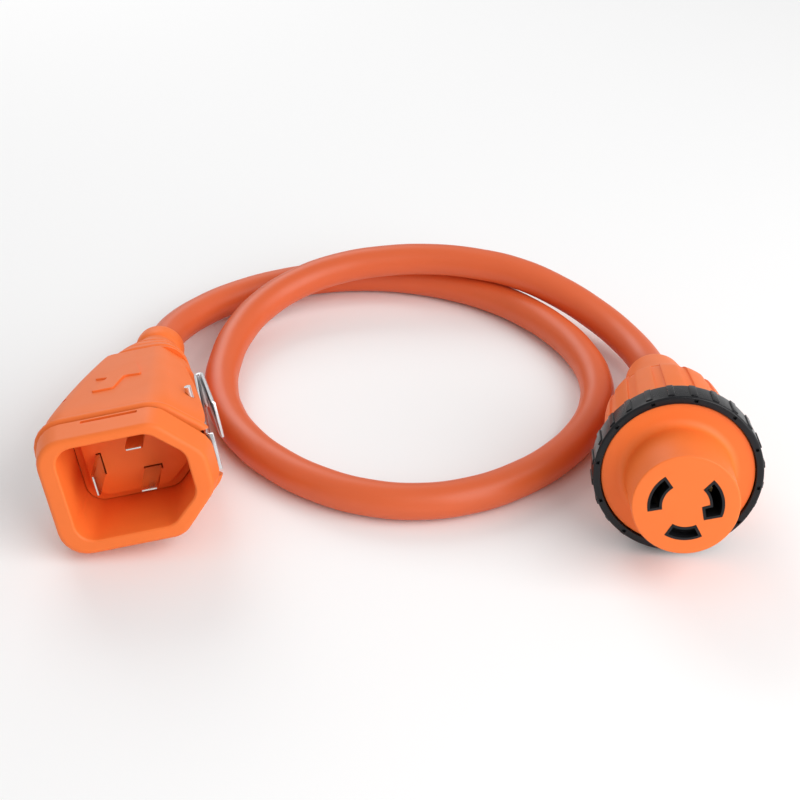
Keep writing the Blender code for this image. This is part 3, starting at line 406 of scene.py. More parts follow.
# cord
cordSettings = {
    "diameter": 0.0163,
    "length": 0.92,
    "exit": (-117.7603, 85.3541, 13.5217),
    "end": (121.5649, 50.5181, 16.5500),
    "route": (
        (-113.1, 104.6, 11.7), (-100.8, 124.8, 10.4), (-84.3, 141.9, 9.1), (-64.3, 154.6, 8.4),
        (-41.8, 162.2, 8.2), (-18.2, 164.7, 8.2), (5.4, 162.0, 8.2), (28.0, 154.5, 8.2),
        (48.5, 142.5, 8.3), (66.1, 126.6, 8.3), (80.4, 107.6, 8.3), (90.5, 86.1, 8.3),
        (95.3, 62.9, 8.2), (93.2, 39.2, 8.2), (84.6, 17.1, 8.2), (70.9, -2.3, 8.2),
        (53.2, -18.1, 8.2), (32.3, -29.3, 8.2), (9.0, -34.0, 8.2), (-14.5, -31.1, 8.3),
        (-36.1, -21.4, 8.4), (-54.8, -6.7, 8.4), (-69.9, 11.6, 8.3), (-80.5, 32.9, 8.2),
        (-85.7, 56.0, 8.2), (-85.7, 79.8, 8.6), (-80.8, 102.9, 11.0), (-69.5, 123.4, 14.7),
        (-52.1, 139.0, 18.7), (-30.7, 148.5, 22.1), (-7.3, 152.3, 24.3), (16.4, 152.4, 25.2),
        (39.9, 148.5, 24.8), (62.2, 140.6, 23.2), (82.3, 128.4, 19.6), (99.4, 112.3, 15.8),
        (112.4, 92.6, 13.5), (120.1, 70.2, 13.8)),
}


def makeCord():
    points = [Vector(p) * mm for p in (cordSettings["exit"], *cordSettings["route"], cordSettings["end"])]
    curve = bpy.data.curves.new("cordJacket", "CURVE")
    curve.dimensions = "3D"
    spline = curve.splines.new("BEZIER")
    spline.bezier_points.add(len(points) - 1)
    for knot, place in zip(spline.bezier_points, points):
        knot.co = place
        knot.handle_left_type = knot.handle_right_type = "AUTO"
    spline.resolution_u = 8
    curve.bevel_depth = cordSettings["diameter"] / 2
    curve.bevel_resolution = 10
    curve.use_fill_caps = True
    curve.materials.append(materials["orangeJacket"])
    cord = bpy.data.objects.new("cordJacket", curve)
    bpy.context.scene.collection.objects.link(cord)
    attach(cord, "cord_set")
    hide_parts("cord")


makeCord()
print("cord laid")


# plug: the shrouded mouth
shroud = {
    "collar": ((-34.6, -28.1, 12), (16.7, -28.1, 4), (34.7, -9.5, 4), (34.7, 7.7, 4), (16.7, 26.3, 4),
               (-34.6, 26.3, 12)),
    "mouth": ((-26.3, -21.5, 8), (13.5, -21.5, 3), (26.3, -9.5, 3), (26.3, 9.5, 3), (13.5, 21.5, 3),
              (-26.3, 21.5, 8)),
    "collarHalfWidth": 34.6, "collarHalfHeight": 27.2, "collarTop": 26.3, "collarLength": 13.4,
    "draft": 1.4, "rimRound": 2.2, "rimSteps": 5, "stepInset": 2.6, "stepLength": 2.4,
    "mouthHalfWidth": 26.3, "mouthHalfHeight": 21.5, "mouthDepth": 31.0, "mouthStart": 1.6,
    "mouthFlare": ((0.5, 1.012, 1.015, 0), (-0.2, 1.045, 1.055, 0), (-1.5, 1.11, 1.13, 0)),
    "spigotHalfWidth": 28.1, "spigotHalfHeight": 23.3, "spigotLift": 0.9, "spigotEnd": 36.0,
    "keySlot": (-14.2, 9.8, 10.8, 12.6), "keySlotDepth": 2.2, "keySlotRound": 0.4, "keySlotReach": 6,
}


def collarSize(inset):
    wide, high = shroud["collarHalfWidth"], shroud["collarHalfHeight"]
    return (wide - inset) / wide, (high - inset) / high


def makeShroud():
    length, curl = shroud["collarLength"], shroud["rimRound"]
    piece = outlineAt("plugShroud", shroud["collar"], curl)
    start = (curl, 1, 1, 0)
    front = []
    for k in range(1, shroud["rimSteps"] + 1):
        a = k / shroud["rimSteps"] * pi / 2
        front.append((curl * (1 - sin(a)), *collarSize(curl * (1 - cos(a))), 0))
    pick(piece, lambda co: True)
    stretch(piece, front, start)
    stepSize = collarSize(shroud["stepInset"])
    stepEnd = length + shroud["stepLength"]
    spigot = (shroud["spigotHalfWidth"] / shroud["collarHalfWidth"],
              shroud["spigotHalfHeight"] / shroud["collarHalfHeight"], shroud["spigotLift"])
    back = [(length, *collarSize(-shroud["draft"]), 0), (length, *stepSize, 0), (stepEnd, *stepSize, 0),
            (stepEnd, *spigot), (shroud["spigotEnd"], *spigot)]
    pick(piece, lambda co: abs(co.y - curl) < 0.001)
    stretch(piece, back, start)
    tidyMesh(piece)
    mouthStart = shroud["mouthStart"]
    cutter = outlineAt("mouthCutter", shroud["mouth"], mouthStart)
    pick(cutter, lambda co: True)
    stretch(cutter, shroud["mouthFlare"], (mouthStart, 1, 1, 0))
    pick(cutter, lambda co: abs(co.y - mouthStart) < 0.001)
    stretch(cutter, [(shroud["spigotEnd"] + 3, 1, 1, 0)], (mouthStart, 1, 1, 0))
    tidyMesh(cutter)
    cutWith(piece, cutter)
    x0, x1, y0, y1 = shroud["keySlot"]
    keyCorners = tuple((x, y, shroud["keySlotRound"]) for x, y in ((x0, y0), (x1, y0), (x1, y1), (x0, y1)))
    bottom = shroud["collarTop"] - shroud["keySlotDepth"]
    keyCutter = outline("keySlotCutter", keyCorners, lambda a, b: Vector((a, b, bottom)))
    pick(keyCutter, lambda co: True)
    bpy.ops.mesh.extrude_region_move(TRANSFORM_OT_translate={"value": (0, 0, shroud["keySlotReach"])})
    bpy.ops.object.mode_set(mode="OBJECT")
    tidyMesh(keyCutter)
    cutWith(piece, keyCutter)
    finishPiece(piece, plugFrame, materials["orangeHousing"], "cord_set", ["plug_shroud"], 32)


makeShroud()
print("shroud made")


# plug: the blade carrier at the bottom of the mouth, a raised block inside a narrow moat
carrier = {"moat": 4.2, "moatDepth": 4.0, "back": 41.0,
           "blades": ((-15.6, -2.0, 1.6, 9.8), (4.3, 11.6, 7.3, 1.6), (5.8, -8.4, 7.3, 1.6)),
           "bladeTip": 10.5, "bladeRoot": 54.0, "tipLength": 1.2, "tipDraw": 0.9,
           "slotGap": 0.4, "slotReach": (28, 46), "inset": 0.3}


def scaled(corners, inset):
    halfWidth, halfHeight = shroud["mouthHalfWidth"], shroud["mouthHalfHeight"]
    wide, high = (halfWidth - inset) / halfWidth, (halfHeight - inset) / halfHeight
    return tuple((a * wide, b * high, r) for a, b, r in corners)


def boxAt(name, low, high):
    startFresh()
    bpy.ops.mesh.primitive_cube_add(size=1, location=(0, 0, 0))
    piece = bpy.context.object
    piece.name = name
    low, high = Vector(low), Vector(high)
    piece.data.transform(Matrix.Translation((low + high) / 2) @ Matrix.Diagonal((*(high - low), 1)))
    return piece


def makeCarrier():
    floorY = shroud["mouthDepth"]
    moatY = floorY + carrier["moatDepth"]
    piece = prismAlong("plugCarrier", scaled(shroud["mouth"], carrier["inset"]), moatY, carrier["back"])
    block = prismAlong("carrierBlock", scaled(shroud["mouth"], carrier["moat"]), floorY, moatY + 1)
    cutWith(piece, block, "UNION")
    softenEdges(piece, 0.5, 40, 2)
    gap = carrier["slotGap"]
    near, far = carrier["slotReach"]
    for x, z, wide, high in carrier["blades"]:
        cutWith(piece, boxAt("bladeSlot", (x - wide / 2 - gap, near, z - high / 2 - gap),
                             (x + wide / 2 + gap, far, z + high / 2 + gap)))
    finishPiece(piece, plugFrame, materials["orangeHousing"], "cord_set", ["plug_insert"], 32)


def makeBlades():
    tip, taper, draw = carrier["bladeTip"], carrier["tipLength"], carrier["tipDraw"]
    for number, (x, z, wide, high) in enumerate(carrier["blades"], 1):
        piece = boxAt("plugBlade_%d" % number, (x - wide / 2, tip + taper, z - high / 2),
                      (x + wide / 2, carrier["bladeRoot"], z + high / 2))
        pick(piece, lambda co: co.y < tip + taper + 0.1)
        bpy.ops.mesh.extrude_region_move(TRANSFORM_OT_translate={"value": (0, -taper, 0)})
        bpy.ops.transform.resize(value=((wide - draw) / wide, 1, (high - draw) / high),
                                 center_override=(x, tip, z))
        bpy.ops.object.mode_set(mode="OBJECT")
        softenEdges(piece, 0.12, 30, 2)
        finishPiece(piece, plugFrame, materials["nickel"], "cord_set", ["plug_blade_%d" % number], 30)


makeCarrier()
makeBlades()
print("blades made")


# plug: the housing
body = {
    "lip": ((-37.4, -29.5, 14), (17.8, -29.5, 6), (37.2, -11.4, 6), (37.2, 9.8, 6), (17.8, 27.7, 6),
            (-37.4, 27.7, 14)),
    "lipHalfWidth": 37.4, "lipHalfHeight": 28.6, "lipStart": 15.8, "length": 86.0,
    "endHalfWidth": 20.8, "endHalfHeight": 18.4, "endLift": 0.9, "easing": 1.35,
    "lipStations": ((0.0, -1.0), (0.004, -0.2), (0.012, 0.45), (0.024, 0.7), (0.036, 0.45), (0.048, -0.3),
                    (0.058, -0.8), (0.078, -0.75), (0.1, -0.3)),
    "roomInset": -2.1, "roomStart": -2, "roomDepth": 41.5, "roomNarrow": (19.0, 18.5, 14.6),
    "roomHalf": (28.4, 23.6),
    "pocketHalfHeight": 11.2, "pinSpot": (26.83, 45.2), "pinRadius": 1.8, "pinReach": 90,
    "pocket": ((60, 13.8), (60, 94.2), (24.5, 91.2), (19.5, 87.2), (23.4, 50.6), (23.4, 41.8), (28.9, 38.8),
               (32.25, 13.8)),
    "pocketRound": 0.8,
}


def bodySize(t, grow=0.0):
    ease = t ** body["easing"]
    halfWidth, halfHeight, lift = body["lipHalfWidth"], body["lipHalfHeight"], body["endLift"]
    wide = (halfWidth * (1 - ease) + body["endHalfWidth"] * ease + grow) / halfWidth
    high = (halfHeight * (1 - ease) + body["endHalfHeight"] * ease + grow) / halfHeight
    return body["lipStart"] + t * body["length"], wide, high, -lift * (1 - t) + lift


def makeBody():
    lip = body["lipStart"]
    piece = outlineAt("plugBody", body["lip"], lip)
    pick(piece, lambda co: True)
    stations = [bodySize(t, grow) for t, grow in body["lipStations"]]
    stations += [bodySize(t / 24) for t in range(4, 25)]
    stretch(piece, stations[1:], (lip, 1, 1, 0))
    first = stations[0]
    pick(piece, lambda co: abs(co.y - lip) < 0.001)
    bpy.ops.transform.resize(value=(first[1], 1, first[2]), center_override=(0, lip, 0))
    bpy.ops.object.mode_set(mode="OBJECT")
    tidyMesh(piece)
    makeRoom(piece)
    for side in (1, -1):
        cutWith(piece, pocketCutter(side))
        cutWith(piece, pinCutter(side))
    return piece


def makeRoom(piece):
    begin = body["lipStart"] + body["roomStart"]
    room = outlineAt("bodyRoom", scaled(shroud["mouth"], body["roomInset"]), begin)
    pick(room, lambda co: True)
    end = body["lipStart"] + body["length"]
    halfWidth, halfHeight = body["roomHalf"]
    narrow, highNear, highFar = body["roomNarrow"]
    stretch(room, [(body["roomDepth"], 1, 1, 0),
                   (body["roomDepth"] + 1, narrow / halfWidth, highNear / halfHeight, 0),
                   (end + 2, narrow / halfWidth, highFar / halfHeight, 0)], (begin, 1, 1, 0))
    tidyMesh(room)
    cutWith(piece, room)


def pocketCutter(side):
    corners = tuple((side * x, y, body["pocketRound"]) for x, y in body["pocket"])
    half = body["pocketHalfHeight"]
    cutter = outline("pocketCutter", corners, lambda a, b: Vector((a, b, -half)))
    pick(cutter, lambda co: True)
    bpy.ops.mesh.extrude_region_move(TRANSFORM_OT_translate={"value": (0, 0, 2 * half)})
    bpy.ops.object.mode_set(mode="OBJECT")
    tidyMesh(cutter)
    return cutter


def pinCutter(side):
    x, y = body["pinSpot"]
    startFresh()
    bpy.ops.mesh.primitive_cylinder_add(vertices=24, radius=body["pinRadius"], depth=body["pinReach"],
                                        location=(side * x, y, 0))
    cutter = bpy.context.object
    bpy.ops.object.transform_apply(location=True)
    return cutter


plugBody = makeBody()


# plug: a plain raised arrow on top, pointing at the cord
arrow = {"points": ((-14.0, 44.0), (-4.0, 44.0), (-1.0, 58.5), (6.8, 57.0), (1.5, 78.5), (-15.0, 61.4),
                    (-8.5, 60.1)),
         "height": 0.9, "cornerRound": 1.4, "inset": 0.5, "dropFrom": 40}


def makeArrow():
    # the outline is laid on the housing's surface, so the arrow follows it, and is then thickened
    corners = tuple((x, y, arrow["cornerRound"]) for x, y in arrow["points"])
    piece = outline("plugArrow", corners, lambda a, b: Vector((a, b, arrow["dropFrom"])))
    pick(piece, lambda co: True)
    bpy.ops.mesh.inset(thickness=arrow["inset"])
    bpy.ops.mesh.select_all(action="SELECT")
    bpy.ops.mesh.quads_convert_to_tris()
    bpy.ops.mesh.subdivide(number_cuts=3)
    bpy.ops.object.mode_set(mode="OBJECT")
    wrap = piece.modifiers.new("wrap", "SHRINKWRAP")
    wrap.target = plugBody
    wrap.wrap_method = "PROJECT"
    wrap.use_project_z = True
    wrap.use_negative_direction = True
    wrap.use_positive_direction = False
    bpy.ops.object.modifier_apply(modifier="wrap")
    thick = piece.modifiers.new("thick", "SOLIDIFY")
    thick.thickness = 2 * arrow["height"]
    thick.offset = 0
    bpy.ops.object.modifier_apply(modifier="thick")
    tidyMesh(piece)
    softenEdges(piece, 0.3, 50, 2)
    finishPiece(piece, plugFrame, materials["orangeHousing"], "cord_set", (), 40)


makeArrow()
finishPiece(plugBody, plugFrame, materials["orangeHousing"], "cord_set", ["plug_housing"], 32)
print("housing made")


# plug: ribbed boot that bends with the cord
boot = {"start": 102.1, "length": 46.0, "bend": 5.0, "halfWidth": 20.5, "halfHeight": 18.1, "neck": 11.2,
        "ring": 11.9, "ringLength": 11.0, "grooves": (0.12, 0.36, 0.6), "grooveDepth": 1.1, "bore": 8.45,
        "squareness": 1.2, "squareFade": 0.8, "blank": 10, "steps": 40, "grooveHalf": 0.05,
        "bulgeWide": 1.6, "bulgeHigh": 0.9, "ringRunIn": 3.0,
        "ringProfile": ((0.0, 1.3), (0.08, 0.6), (0.2, 0.15), (0.35, 0.0), (0.65, 0.0), (0.8, 0.2),
                        (0.92, 0.8), (1.0, 2.0))}


def bootFrame(distance):
    bend = radians(boot["bend"])
    radius = boot["length"] / bend
    angle = distance / radius
    spot = Vector((radius * (1 - cos(angle)), boot["start"] + radius * sin(angle), 0))
    return Matrix.Translation(spot) @ Matrix.Rotation(-angle, 4, "Z")


def makeBoot():
    startFresh()
    blank = boot["blank"]
    bpy.ops.mesh.primitive_circle_add(vertices=56, radius=blank, fill_type="NGON")
    piece = bpy.context.object
    piece.name = "plugBoot"
    piece.data.transform(Matrix.Rotation(pi / 2, 4, "X"))
    taper = boot["length"] - boot["ringLength"] - boot["ringRunIn"]
    stations = []
    for k in range(boot["steps"] + 1):
        t = k / boot["steps"]
        cut = 0.0
        for groove in boot["grooves"]:
            away = abs(t - groove) / boot["grooveHalf"]
            cut = max(cut, boot["grooveDepth"] * max(0.0, 1 - away ** 2))
        wide = boot["halfWidth"] * (1 - t) + boot["neck"] * t + boot["bulgeWide"] * sin(pi * t) - cut
        high = boot["halfHeight"] * (1 - t) + boot["neck"] * t + boot["bulgeHigh"] * sin(pi * t) - cut
        stations.append((t * taper, wide / blank, high / blank, 0))
    for share, drop in boot["ringProfile"]:
        size = (boot["ring"] - drop) / blank
        stations.append((taper + boot["ringRunIn"] + share * boot["ringLength"], size, size, 0))
    pick(piece, lambda co: True)
    stretch(piece, stations, (-0.01, 1, 1, 0))
    tidyMesh(piece)
    for vertex in piece.data.vertices:
        co = vertex.co.copy()
        size = Vector((co.x, co.z)).length
        if size < 0.01:
            continue
        c, s = abs(co.x) / size, abs(co.z) / size
        power = 2 + boot["squareness"] * max(0.0, 1 - co.y / taper / boot["squareFade"])
        fill = (c ** power + s ** power) ** (-1 / power)
        vertex.co = (co.x * fill, co.y, co.z * fill)
    startFresh()
    bpy.ops.mesh.primitive_cylinder_add(vertices=48, radius=boot["bore"], depth=120, rotation=(pi / 2, 0, 0))
    cutter = bpy.context.object
    bpy.ops.object.transform_apply(rotation=True)
    cutWith(piece, cutter)
    for vertex in piece.data.vertices:
        co = vertex.co.copy()
        vertex.co = bootFrame(co.y) @ Vector((co.x, 0, co.z))
    finishPiece(piece, plugFrame, materials["orangeHousing"], "cord_set", ["plug_boot"], 40)


makeBoot()
print("boot made")


# plug: the steel side latches, a folded sheet with a knurled thumb leaf
latch = {"sheet": 1.3, "halfHeight": 8.6, "front": (34.0, 16.2), "rear": (25.2, 82.2), "bend": 1.6,
         "thumbX": 35.0, "thumbStart": 47.2, "knurlPitch": 0.9, "knurlHeight": 0.22, "knurlLength": 30.5,
         "knurlMargin": 1.6, "knurlStart": 2.2, "knurlSunk": 0.3, "knuckleRadius": 2.8, "knuckleLength": 10,
         "boreRadius": 1.8, "webHalf": 2.1, "webReach": 3.2}


def latchLine():
    frontX, frontY = latch["front"]
    rearX, rearY = latch["rear"]
    bend = latch["bend"]
    lean = (frontX - rearX) / (rearY - frontY)
    points = [(frontX + 3.0, frontY + 0.9), (frontX + 0.4, frontY + 0.7), (frontX - lean * 2, frontY + 2.0),
              (rearX, rearY)]
    for k in range(1, 9):
        angle = pi - k * pi / 8 + 0.12
        points.append((rearX + bend + bend * cos(angle), rearY + bend * sin(angle)))
    thumbX, thumbY = latch["thumbX"], latch["thumbStart"]
    points += [(thumbX, thumbY + 2.0), (thumbX + 0.9, thumbY)]
    return [Vector(p) for p in points]


def sheetFrom(name, line, halfHeight, thickness):
    # a strip extruded point by point along a line on the plan, then given its thickness
    startFresh()
    bpy.ops.mesh.primitive_plane_add(size=1)
    piece = bpy.context.object
    piece.name = name
    ends = [(line[0], -halfHeight), (line[1], -halfHeight), (line[0], halfHeight), (line[1], halfHeight)]
    for vertex, (spot, z) in zip(piece.data.vertices, ends):
        vertex.co = (spot.x, spot.y, z)
    pick(piece, lambda co: (Vector((co.x, co.y)) - line[1]).length < 0.001, "VERT")
    for before, after in zip(line[1:], line[2:]):
        move = after - before
        bpy.ops.mesh.extrude_region_move(TRANSFORM_OT_translate={"value": (move.x, move.y, 0)})
    bpy.ops.object.mode_set(mode="OBJECT")
    tidyMesh(piece)
    thick = piece.modifiers.new("thick", "SOLIDIFY")
    thick.thickness = thickness
    thick.offset = 0
    thick.use_even_offset = True
    bpy.ops.object.modifier_apply(modifier="thick")
    return piece


def makeKnurl():
    # little pyramids over the thumb leaf's outer side
    leafX, start = latch["thumbX"], latch["thumbStart"] + latch["knurlStart"]
    length, tall = latch["knurlLength"], 2 * latch["halfHeight"] - latch["knurlMargin"]
    across, down = round(length / latch["knurlPitch"]), round(tall / latch["knurlPitch"])
    startFresh()
    bpy.ops.mesh.primitive_grid_add(x_subdivisions=across, y_subdivisions=down, size=1)
    piece = bpy.context.object
    piece.name = "latchKnurl"
    bpy.ops.object.mode_set(mode="EDIT")
    bpy.ops.mesh.select_all(action="SELECT")
    bpy.ops.mesh.poke(offset=0.0)
    bpy.ops.object.mode_set(mode="OBJECT")
    slope = (latch["thumbX"] - latch["rear"][0] - 2 * latch["bend"]) / (latch["rear"][1] - start)
    for vertex in piece.data.vertices:
        along, up = vertex.co.x + 0.5, vertex.co.y * tall
        onGrid = abs(along * across - round(along * across)) < 0.01
        edge = along < 0.001 or along > 0.999 or abs(vertex.co.y) > 0.499
        rise = -latch["knurlSunk"] if edge else (0.0 if onGrid else latch["knurlHeight"])
        y = start + along * length
        vertex.co = (leafX - slope * (y - start) + latch["sheet"] / 2 + rise + 0.03, y, up)
    return piece


def makeLatch(side, word):
    sheet = sheetFrom("latchSheet", latchLine(), latch["halfHeight"], latch["sheet"])
    softenEdges(sheet, 0.22, 40, 2)
    knurl = makeKnurl()
    x, y = body["pinSpot"]
    startFresh()
    bpy.ops.mesh.primitive_cylinder_add(vertices=32, radius=latch["knuckleRadius"],
                                        depth=latch["knuckleLength"], location=(x, y, 0))
    knuckle = bpy.context.object
    bpy.ops.object.transform_apply(location=True)
    half, webHalf = latch["knuckleLength"] / 2, latch["webHalf"]
    web = boxAt("web", (x, y - webHalf, -half), (x + latch["webReach"], y + webHalf, half))
    cutWith(knuckle, web, "UNION")
    startFresh()
    bpy.ops.mesh.primitive_cylinder_add(vertices=32, radius=latch["boreRadius"], depth=30,
                                        location=(x, y, 0))
    bore = bpy.context.object
    bpy.ops.object.transform_apply(location=True)
    cutWith(knuckle, bore)
    piece = joined([sheet, knurl, knuckle], "latch_" + word)
    if side < 0:
        piece.data.transform(Matrix.Diagonal((-1, 1, 1, 1)))
        piece.data.flip_normals()
    finishPiece(piece, plugFrame, materials["latchSteel"], word + "_latch", ["latch_" + word], 30)


for latchSide, latchWord in ((1, "right"), (-1, "left")):
    makeLatch(latchSide, latchWord)
print("latches made")


# socket: nose, flange and lined slots
nose = {
    "flangeY": 1.2, "faceY": -28.2, "slotInner": 9.5, "slotOuter": 15.4, "liner": 1.1, "linerProud": 0.15,
    "slots": {"left": (126.0, 192.0), "right": (-17.0, 49.0), "ground": (-120.0, -61.0)},
    "hookCorners": ((6.3, -0.3), (7.5, -6.2)), "hookTop": 4.0,
}


def arcSpots(radius, begin, finish, count):
    angles = [radians(begin + (finish - begin) * k / count) for k in range(count + 1)]
    return [Vector((radius * cos(angle), radius * sin(angle))) for angle in angles]


def slotCorners(name, shrink):
    start, end = nose["slots"][name]
    spots = arcSpots(nose["slotOuter"], start, end, 16)
    if name == "right":
        spots += arcSpots(nose["slotInner"], end, nose["hookTop"], 10)
        spots += [Vector(corner) for corner in nose["hookCorners"]]
    else:
        spots += arcSpots(nose["slotInner"], end, start, 14)
    return [(spot.x, spot.y, 0) for spot in drawnIn(spots, shrink)]


def makeNose():
    face, flange = nose["faceY"], nose["flangeY"]
    profile = ((0, face, 0), (21.7, face, 0.7), (22.15, flange, 3.6), (31.8, flange, 0.5), (31.8, 4.2, 0),
               (20.9, 4.2, 0), (20.9, 30.2, 0), (17.9, 30.2, 0), (17.9, face + 3.5, 0), (0, face + 3.5, 0))
    piece = spun("socketNose", profile, 128)
    for name in nose["slots"]:
        cutWith(piece, prismAlong("slotCutter", slotCorners(name, 0), face - 2, face + 5))
    finishPiece(piece, socketFrame, materials["orangeHousing"], "cord_set", ["socket_nose"], 30)


def makeInsert():
    face = nose["faceY"]
    rim = [(spot.x, spot.y, 0) for spot in arcSpots(17.6, 0, 360 - 360 / 64, 63)]
    disc = prismAlong("socketInsert", rim, face + 3.8, 5.6)
    pieces = [disc]
    for name in nose["slots"]:
        bore = slotCorners(name, nose["liner"])
        cutWith(disc, prismAlong("linerCutter", bore, face, 9), solver="FAST")
        collar = outlineAt("slotCollar", slotCorners(name, 0.08), face - nose["linerProud"])
        pick(collar, lambda co: True)
        bpy.ops.mesh.inset(thickness=nose["liner"] - 0.08)
        bpy.ops.mesh.delete(type="FACE")
        bpy.ops.mesh.select_all(action="SELECT")
        bpy.ops.mesh.extrude_region_move(TRANSFORM_OT_translate={"value": (0, 3.85 + nose["linerProud"], 0)})
        bpy.ops.object.mode_set(mode="OBJECT")
        tidyMesh(collar)
        pieces.append(collar)
    finishPiece(joined(pieces, "socketInsert"), socketFrame, materials["slotLiner"], "cord_set",
                ["socket_insert"], 30)


makeNose()
makeInsert()
print("nose made")


# socket: the sealing ring with its grip ribs and front notches
ring = {"radius": 35.3, "width": 13.6, "bore": 32.1, "shoulderBore": 29.6, "ribs": 24, "ribWidth": 2.9,
        "ribHeight": 0.55, "ribStart": 1.6, "ribEnd": 12.0,
        "notches": 12, "notchWidth": 1.7, "notchDepth": 1.3}


def turnedCopies(piece, count, name, offset):
    copies = [piece]
    for k in range(1, count):
        extra = piece.copy()
        extra.data = piece.data.copy()
        bpy.context.scene.collection.objects.link(extra)
        extra.data.transform(Matrix.Rotation(2 * pi * k / count + offset, 4, "Y"))
        copies.append(extra)
    piece.data.transform(Matrix.Rotation(offset, 4, "Y"))
    return joined(copies, name)


def makeRing():
    outer, width = ring["radius"], ring["width"]
    profile = ((ring["bore"], 0, 0.35), (outer, 0, 0.9), (outer, width - 0.9, 0.8), (outer - 1.6, width, 0.5),
               (ring["shoulderBore"], width, 0.3), (ring["shoulderBore"], 4.5, 0), (ring["bore"], 4.5, 0))
    piece = spun("lockingRing", profile, 144)
    notch = boxAt("ringNotch", (ring["bore"] + 1.0, -1, -ring["notchWidth"] / 2),
                  (ring["bore"] + 1.0 + ring["notchDepth"], 1.3, ring["notchWidth"] / 2))
    cutWith(piece, turnedCopies(notch, ring["notches"], "ringNotches", radians(8)))
    half = ring["ribWidth"] / 2
    rib = boxAt("ringRib", (outer - 0.6, ring["ribStart"], -half),
                (outer + ring["ribHeight"], ring["ribEnd"], half))
    softenEdges(rib, 0.4, 30, 4)
    ribs = turnedCopies(rib, ring["ribs"], "ringRibs", radians(6.6))
    piece = joined([piece, ribs], "lockingRing")
    finishPiece(piece, socketFrame, materials["blackPlastic"], "ring", ["locking_ring"], 35)


makeRing()
print("ring made")


# socket: the tapered grip with its flutes, and the tail that holds the cord
grip = {"neck": 29.3, "start": 4.5, "neckEnd": 15.7, "end": 65.6, "endRadius": 22.8,
        "flutes": 14, "steps": 126, "fluteHalfAngle": 3.6, "fluteDepth": 0.85}


def gripRadius(t):
    return grip["neck"] - 3.6 * t ** 1.7 - (1.7 * ((t - 0.82) / 0.18) ** 2 if t > 0.82 else 0)


def makeGrip():
    neckEnd, end = grip["neckEnd"], grip["end"]
    profile = [(grip["neck"], grip["start"], 0.3), (grip["neck"], neckEnd, 0)]
    profile += [(gripRadius(k / 16), neckEnd + (end - neckEnd) * k / 16, 0) for k in range(1, 16)]
    profile += [(grip["endRadius"] + 1.2, end, 0.9), (grip["endRadius"] - 3.7, end, 0), (21.2, end - 8, 0),
                (21.2, grip["start"], 0)]
    piece = spun("socketGrip", profile, grip["steps"], pi / grip["steps"])
    spacing = 360 / grip["flutes"]

    def inFlute(co):
        around = degrees(atan2(co.x, co.z)) / spacing
        offset = abs(around - 0.5 - round(around - 0.5)) * spacing
        onSide = neckEnd + 0.4 < co.y < end - 0.2 and Vector((co.x, co.z)).length > grip["endRadius"] - 0.5
        return offset < grip["fluteHalfAngle"] and onSide

    pick(piece, inFlute)
    bpy.ops.mesh.extrude_region_shrink_fatten(TRANSFORM_OT_shrink_fatten={"value": -grip["fluteDepth"]})
    bpy.ops.object.mode_set(mode="OBJECT")
    softenEdges(piece, 0.22, 40, 2)
    finishPiece(piece, socketFrame, materials["orangeHousing"], "cord_set", ["socket_housing"], 30)


tail = {"start": 65.9, "length": 41.0, "first": 21.4, "last": 13.2, "steps": 12, "taper": 0.85, "bore": 8.45}


def makeTail():
    start, length, first, last = tail["start"], tail["length"], tail["first"], tail["last"]
    end = start + length
    profile = [(first, start, 0.4)]
    for k in range(1, tail["steps"]):
        t = k / tail["steps"]
        profile.append((first + (last - first) * t ** tail["taper"], start + length * t, 0))
    profile += [(last, end, 1.4), (tail["bore"], end, 0.5), (tail["bore"], start, 0)]
    piece = spun("socketTail", profile, 96)
    finishPiece(piece, socketFrame, materials["orangeHousing"], "cord_set", ["socket_boot"], 35)


makeGrip()
makeTail()
print("grip made")
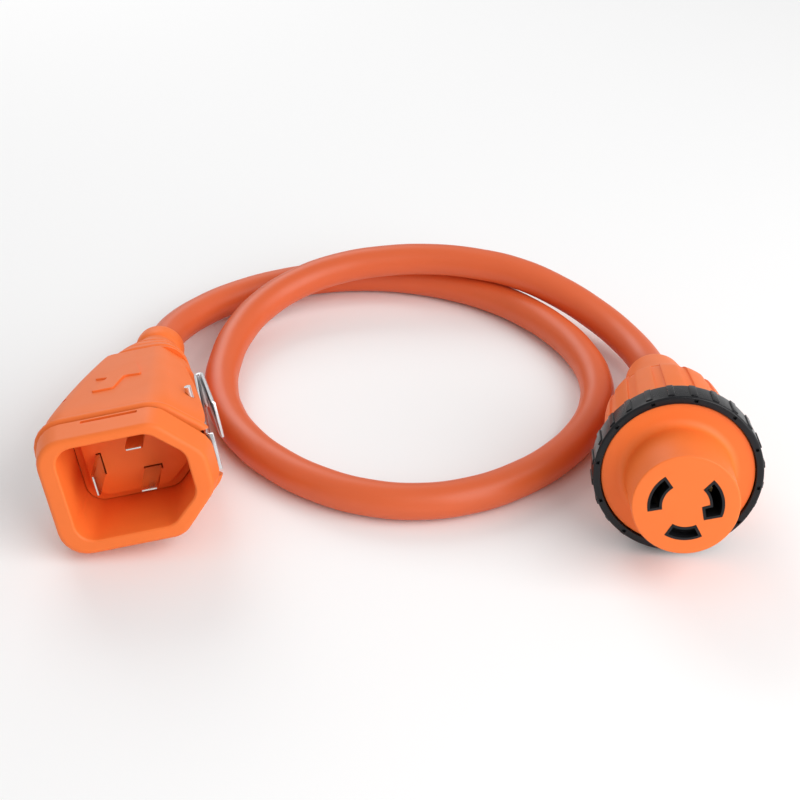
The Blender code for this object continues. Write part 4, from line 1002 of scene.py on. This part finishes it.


# the CAD nodes that stay as they are get their own finishes
# the gasket gets the near-black finish, which also paints shade into the seam between collar and housing lip
keptFinishes = (("plug_gasket", "gasketAndSeamShade"), ("ring_retainer", "blackPlastic"),
                ("socket_contact", "brass"), ("latch_", "latchSteel"),
                ("plug_terminal", "latchSteel"), ("socket_terminal", "latchSteel"),
                ("plug_clamp_screw", "latchSteel"), ("socket_clamp_screw", "latchSteel"),
                ("plug_cord_clamp", "blackPlastic"), ("socket_cord_clamp", "blackPlastic"),
                ("plug_jacket_end", "orangeJacket"), ("socket_jacket_end", "orangeJacket"),
                ("plug_wire_1", "wireBlack"), ("socket_wire_1", "wireBlack"),
                ("plug_wire_2", "wireWhite"), ("socket_wire_2", "wireWhite"),
                ("plug_wire_3", "wireGreen"), ("socket_wire_3", "wireGreen"))
for nodeName, node in nodes.items():
    for prefix, finish in keptFinishes:
        if nodeName.startswith(prefix):
            for slot in node.material_slots:
                slot.material = materials[finish]


# floor and light
studio = {
    "floorSize": 6.0, "floorColour": (0.95, 0.95, 0.95), "skyColour": (1, 1, 1), "skyStrength": 0.5,
    "lights": (("keyLight", (0.9, -0.65, 0.75), 1.3, 16.0), ("backLight", (-0.5, 1.1, 0.9), 0.8, 6.0)),
}


def makeStudio():
    startFresh()
    bpy.ops.mesh.primitive_plane_add(size=studio["floorSize"], location=(0, 1.5, -0.0003))
    floor = bpy.context.object
    floor.name = "floor"
    paper = bpy.data.materials.new("floorPaper")
    paper.use_nodes = True
    paper.node_tree.nodes["Principled BSDF"].inputs["Base Color"].default_value = (*studio["floorColour"], 1)
    paper.node_tree.nodes["Principled BSDF"].inputs["Roughness"].default_value = 0.9
    floor.data.materials.append(paper)
    world = bpy.data.worlds.new("studio")
    bpy.context.scene.world = world
    world.use_nodes = True
    sky = world.node_tree.nodes["Background"]
    sky.inputs["Color"].default_value = (*studio["skyColour"], 1)
    sky.inputs["Strength"].default_value = studio["skyStrength"]
    for name, place, size, power in studio["lights"]:
        data = bpy.data.lights.new(name, "AREA")
        data.energy = power
        data.size = size
        light = bpy.data.objects.new(name, data)
        bpy.context.scene.collection.objects.link(light)
        light.location = place
        aim = Vector((0, 0.05, 0)) - Vector(place)
        light.rotation_euler = aim.to_track_quat("-Z", "Y").to_euler()
    bpy.context.scene.view_settings.view_transform = "Standard"


makeStudio()
